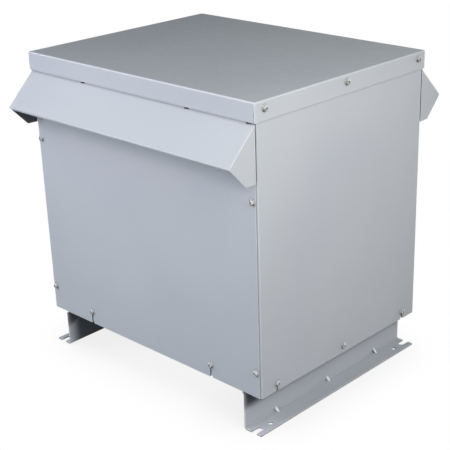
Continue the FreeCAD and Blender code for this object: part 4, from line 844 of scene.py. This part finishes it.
def innerBolts():
    names = {"base_bolts": "baseBolts", "pad_bolts": "padBolts", "clamp_bolts": "clampBolts",
             "low_voltage_bolts": "lowVoltageBolts", "earth_screws": "earthScrews"}
    for node, name in names.items():
        work = bmesh.new()
        for points in looseSolids(node):
            bolt = measured(points, axisOf(points, max))
            side, foot, top, tip = 1, bolt["headLow"], bolt["high"], bolt["low"]
            if bolt["high"] - bolt["headHigh"] >= bolt["headLow"] - bolt["low"]:
                side, foot, top, tip = -1, bolt["headHigh"], bolt["low"], bolt["high"]
            single = boltMesh(bolt["flats"], abs(top - foot), bolt["size"], abs(foot - tip))
            intoPlace(work, single, bolt, foot, side)
        addPiece(name, work, slotOf[node], [node])
    print("inner bolts made")


def innerNuts():
    names = {"base_nuts": "baseNuts", "pad_nuts": "padNuts", "clamp_nuts": "clampNuts",
             "terminal_nuts": "terminalNuts"}
    for node, name in names.items():
        work = bmesh.new()
        for points in looseSolids(node):
            nut = measured(points, axisOf(points, min))
            single = nutMesh(nut["flats"], nut["high"] - nut["low"], nut["size"])
            intoPlace(work, single, nut, nut["low"], 1)
        addPiece(name, work, slotOf[node], [node])
    print("inner nuts made")


def terminalStuds():
    work = bmesh.new()
    for points in looseSolids("high_voltage_studs"):
        stud = measured(points, axisOf(points, max))
        single = rodMesh(stud["widest"], 0.0, stud["high"] - stud["low"])
        intoPlace(work, single, stud, stud["low"], 1)
    addPiece("highVoltageStuds", work, slotOf["high_voltage_studs"], ["high_voltage_studs"])
    print("terminal studs made")


enclosureScrews()
innerBolts()
innerNuts()
terminalStuds()


# Camera, at the photograph's viewing angle

view = {
    "place": (1.5120, -1.5273, 1.1330),
    "bearing": 43.303,      # degrees round to the right from straight in front
    "down": 22.822,
    "roll": -1.332,
    "lens": 87.87,          # mm, on a sensor of this width
    "sensor": 36.0,
    "shift": (-0.0667, 0.0446),
}


def placeCamera():
    bearing, down, roll = (math.radians(view[k]) for k in ("bearing", "down", "roll"))
    level = math.cos(down)
    ahead = Vector((-math.sin(bearing) * level, math.cos(bearing) * level, -math.sin(down)))
    right = Vector((math.cos(bearing), math.sin(bearing), 0.0))
    up = right.cross(ahead)
    side = math.cos(roll) * right + math.sin(roll) * up
    rise = math.cos(roll) * up - math.sin(roll) * right
    turn = Matrix((side, rise, -ahead)).transposed()
    camera = bpy.data.objects.new("camera", bpy.data.cameras.new("camera"))
    camera.matrix_world = Matrix.Translation(view["place"]) @ turn.to_4x4()
    camera.data.sensor_width = view["sensor"]
    camera.data.lens = view["lens"]
    camera.data.shift_x, camera.data.shift_y = view["shift"]
    camera.data.clip_end = 100.0
    bpy.context.scene.collection.objects.link(camera)
    bpy.context.scene.camera = camera
    print("camera placed")


placeCamera()


# Studio

lamps = {
    # toward is the way from the object to the lamp; far, its distance; one not mirrored is in no reflection
    "low front softbox": {"toward": (0.15, -1.0, 0.08), "far": 3.2, "size": (2.0, 1.4), "power": 21.6,
                          "colour": (0.82, 0.99, 1.0), "mirrored": False},
    "left overhead softbox": {"toward": (-0.63, -0.37, 0.68), "far": 3.0, "size": (2.0, 2.0), "power": 26.8,
                              "colour": (0.93, 1.0, 0.96), "mirrored": True},
    "near front softbox": {"toward": (-0.15, -0.90, 0.55), "far": 1.6, "size": (1.0, 0.8), "power": 12.2,
                           "colour": (0.98, 0.89, 1.0), "mirrored": False},
    "near left softbox": {"toward": (-0.60, -0.70, 0.45), "far": 1.6, "size": (1.0, 0.8), "power": 1.8,
                          "colour": (0.82, 1.0, 1.0), "mirrored": True},
    "near side softbox": {"toward": (0.95, -0.20, 0.45), "far": 1.5, "size": (0.8, 0.8), "power": 12.6,
                          "colour": (1.0, 0.94, 0.93), "mirrored": False},
    "near corner softbox": {"toward": (0.90, -0.62, 0.62), "far": 1.3, "size": (0.6, 0.6), "power": 2.4,
                            "colour": (1.0, 1.0, 0.82), "mirrored": False},
    "right overhead softbox": {"toward": (0.60, 0.05, 0.80), "far": 1.3, "size": (0.7, 0.7), "power": 1.0,
                               "colour": (0.82, 1.0, 1.0), "mirrored": True},
    "rear fill": {"toward": (0.15, 1.0, -0.02), "far": 3.2, "size": (2.2, 0.75), "power": 80.0,
                  "colour": (1.0, 1.0, 1.0), "mirrored": False},
    "left fill": {"toward": (-1.0, 0.15, -0.02), "far": 3.2, "size": (2.2, 0.75), "power": 70.0,
                  "colour": (1.0, 1.0, 1.0), "mirrored": False},
}
studio = {
    "ambient": 0.0,
    "floorSize": 20.0,
    "floorBelow": 0.0002,       # how far the floor lies under the rails
    "floorGrey": 0.35,          # what the floor gives back to the object
    "shadow": 0.85,             # how light the floor stays where its painted shadow is deepest
    "shadowReach": 0.15,
    "card": (0.22, 0.42),       # the white surround ends between these heights of its direction
    "above": 0.26,              # and is this grey above them, for reflections only
    "fade": (-0.82, -0.54),     # towards the left it darkens to black between these
}
white = (1.0, 1.0, 1.0)


def seenDirectly(finish):
    # 1 for what the camera, a mirror or glass looks at, 0 for light that falls on the object
    paths = [finish.node("ShaderNodeLightPath", out=f"Is {kind} Ray") for kind in
             ("Camera", "Glossy", "Transmission")]
    return finish.node("ShaderNodeClamp", {}, {0: paths[0] + paths[1] + paths[2]})


def hangLamps():
    aim = Vector((0.0, 0.0, (cadBox[0].z + cadBox[1].z) / 2))
    for name, lamp in lamps.items():
        light = bpy.data.lights.new(name, "AREA")
        light.shape = "RECTANGLE"
        light.size, light.size_y = lamp["size"]
        light.energy = lamp["power"]
        light.color = lamp["colour"]
        holder = bpy.data.objects.new(name, light)
        way = Vector(lamp["toward"]).normalized()
        holder.location = aim + way * lamp["far"]
        holder.rotation_euler = way.to_track_quat("Z", "Y").to_euler()
        holder.visible_camera = False
        holder.visible_glossy = lamp["mirrored"]
        bpy.context.scene.collection.objects.link(holder)
    print(len(lamps), "lamps hung")


def paintSurround():
    world = bpy.data.worlds.new("studio")
    bpy.context.scene.world = world
    air = Finish(world)
    camera = air.node("ShaderNodeLightPath", out="Is Camera Ray")
    heading = air.apart(air.node("ShaderNodeTexCoord", out="Generated"))
    surround = air.fit(heading[2], *studio["card"], 1.0, studio["above"])
    surround = surround * air.fit(heading[0], *studio["fade"], 0.0, 1.0)
    glow = camera + (1 - camera) * surround
    lit = air.node("ShaderNodeBackground", {}, {"Color": white, "Strength": glow})
    dim = air.node("ShaderNodeBackground", {}, {"Color": white, "Strength": studio["ambient"]})
    both = air.node("ShaderNodeMixShader", {}, {0: seenDirectly(air), 1: dim, 2: lit})
    air.node("ShaderNodeOutputWorld", {}, {"Surface": both})
    print("surround painted")


def layFloor():
    # matt grey to the object's light, white with a soft painted shadow to the eye
    paper = startFinish("studio floor")
    grain = paper.fit(paper.noise(paper.place(), 40.0, 2.0), 0.3, 0.7, 0.0, 1.0)
    low, high = (studio["floorGrey"] * share for share in (0.95, 1.05))
    matt = paper.node("ShaderNodeBsdfDiffuse", {}, {"Color": paper.tint(grain, (low,) * 3, (high,) * 3)})
    # painted shadow: the floor seen directly darkens where the object closes it in
    clear = paper.fit(paper.openness(studio["shadowReach"], 16), 0.25, 0.95, 0.0, 1.0)
    shown = paper.tint(clear, (studio["shadow"],) * 3, white)
    glow = paper.node("ShaderNodeEmission", {}, {"Color": shown})
    mixed = paper.node("ShaderNodeMixShader", {}, {0: seenDirectly(paper), 1: matt, 2: glow})
    paper.node("ShaderNodeOutputMaterial", {}, {"Surface": mixed})
    work = bmesh.new()
    bmesh.ops.create_grid(work, x_segments=1, y_segments=1, size=studio["floorSize"] / 2)
    floor = bpy.data.objects.new("floor", meshOf("floor", work))
    floor.data.materials.append(paper.owner)
    floor.location.z = cadBox[0].z - studio["floorBelow"]
    bpy.context.scene.collection.objects.link(floor)
    print("floor laid")


hangLamps()
paintSurround()
layFloor()
bpy.context.scene.view_settings.view_transform = "Standard"
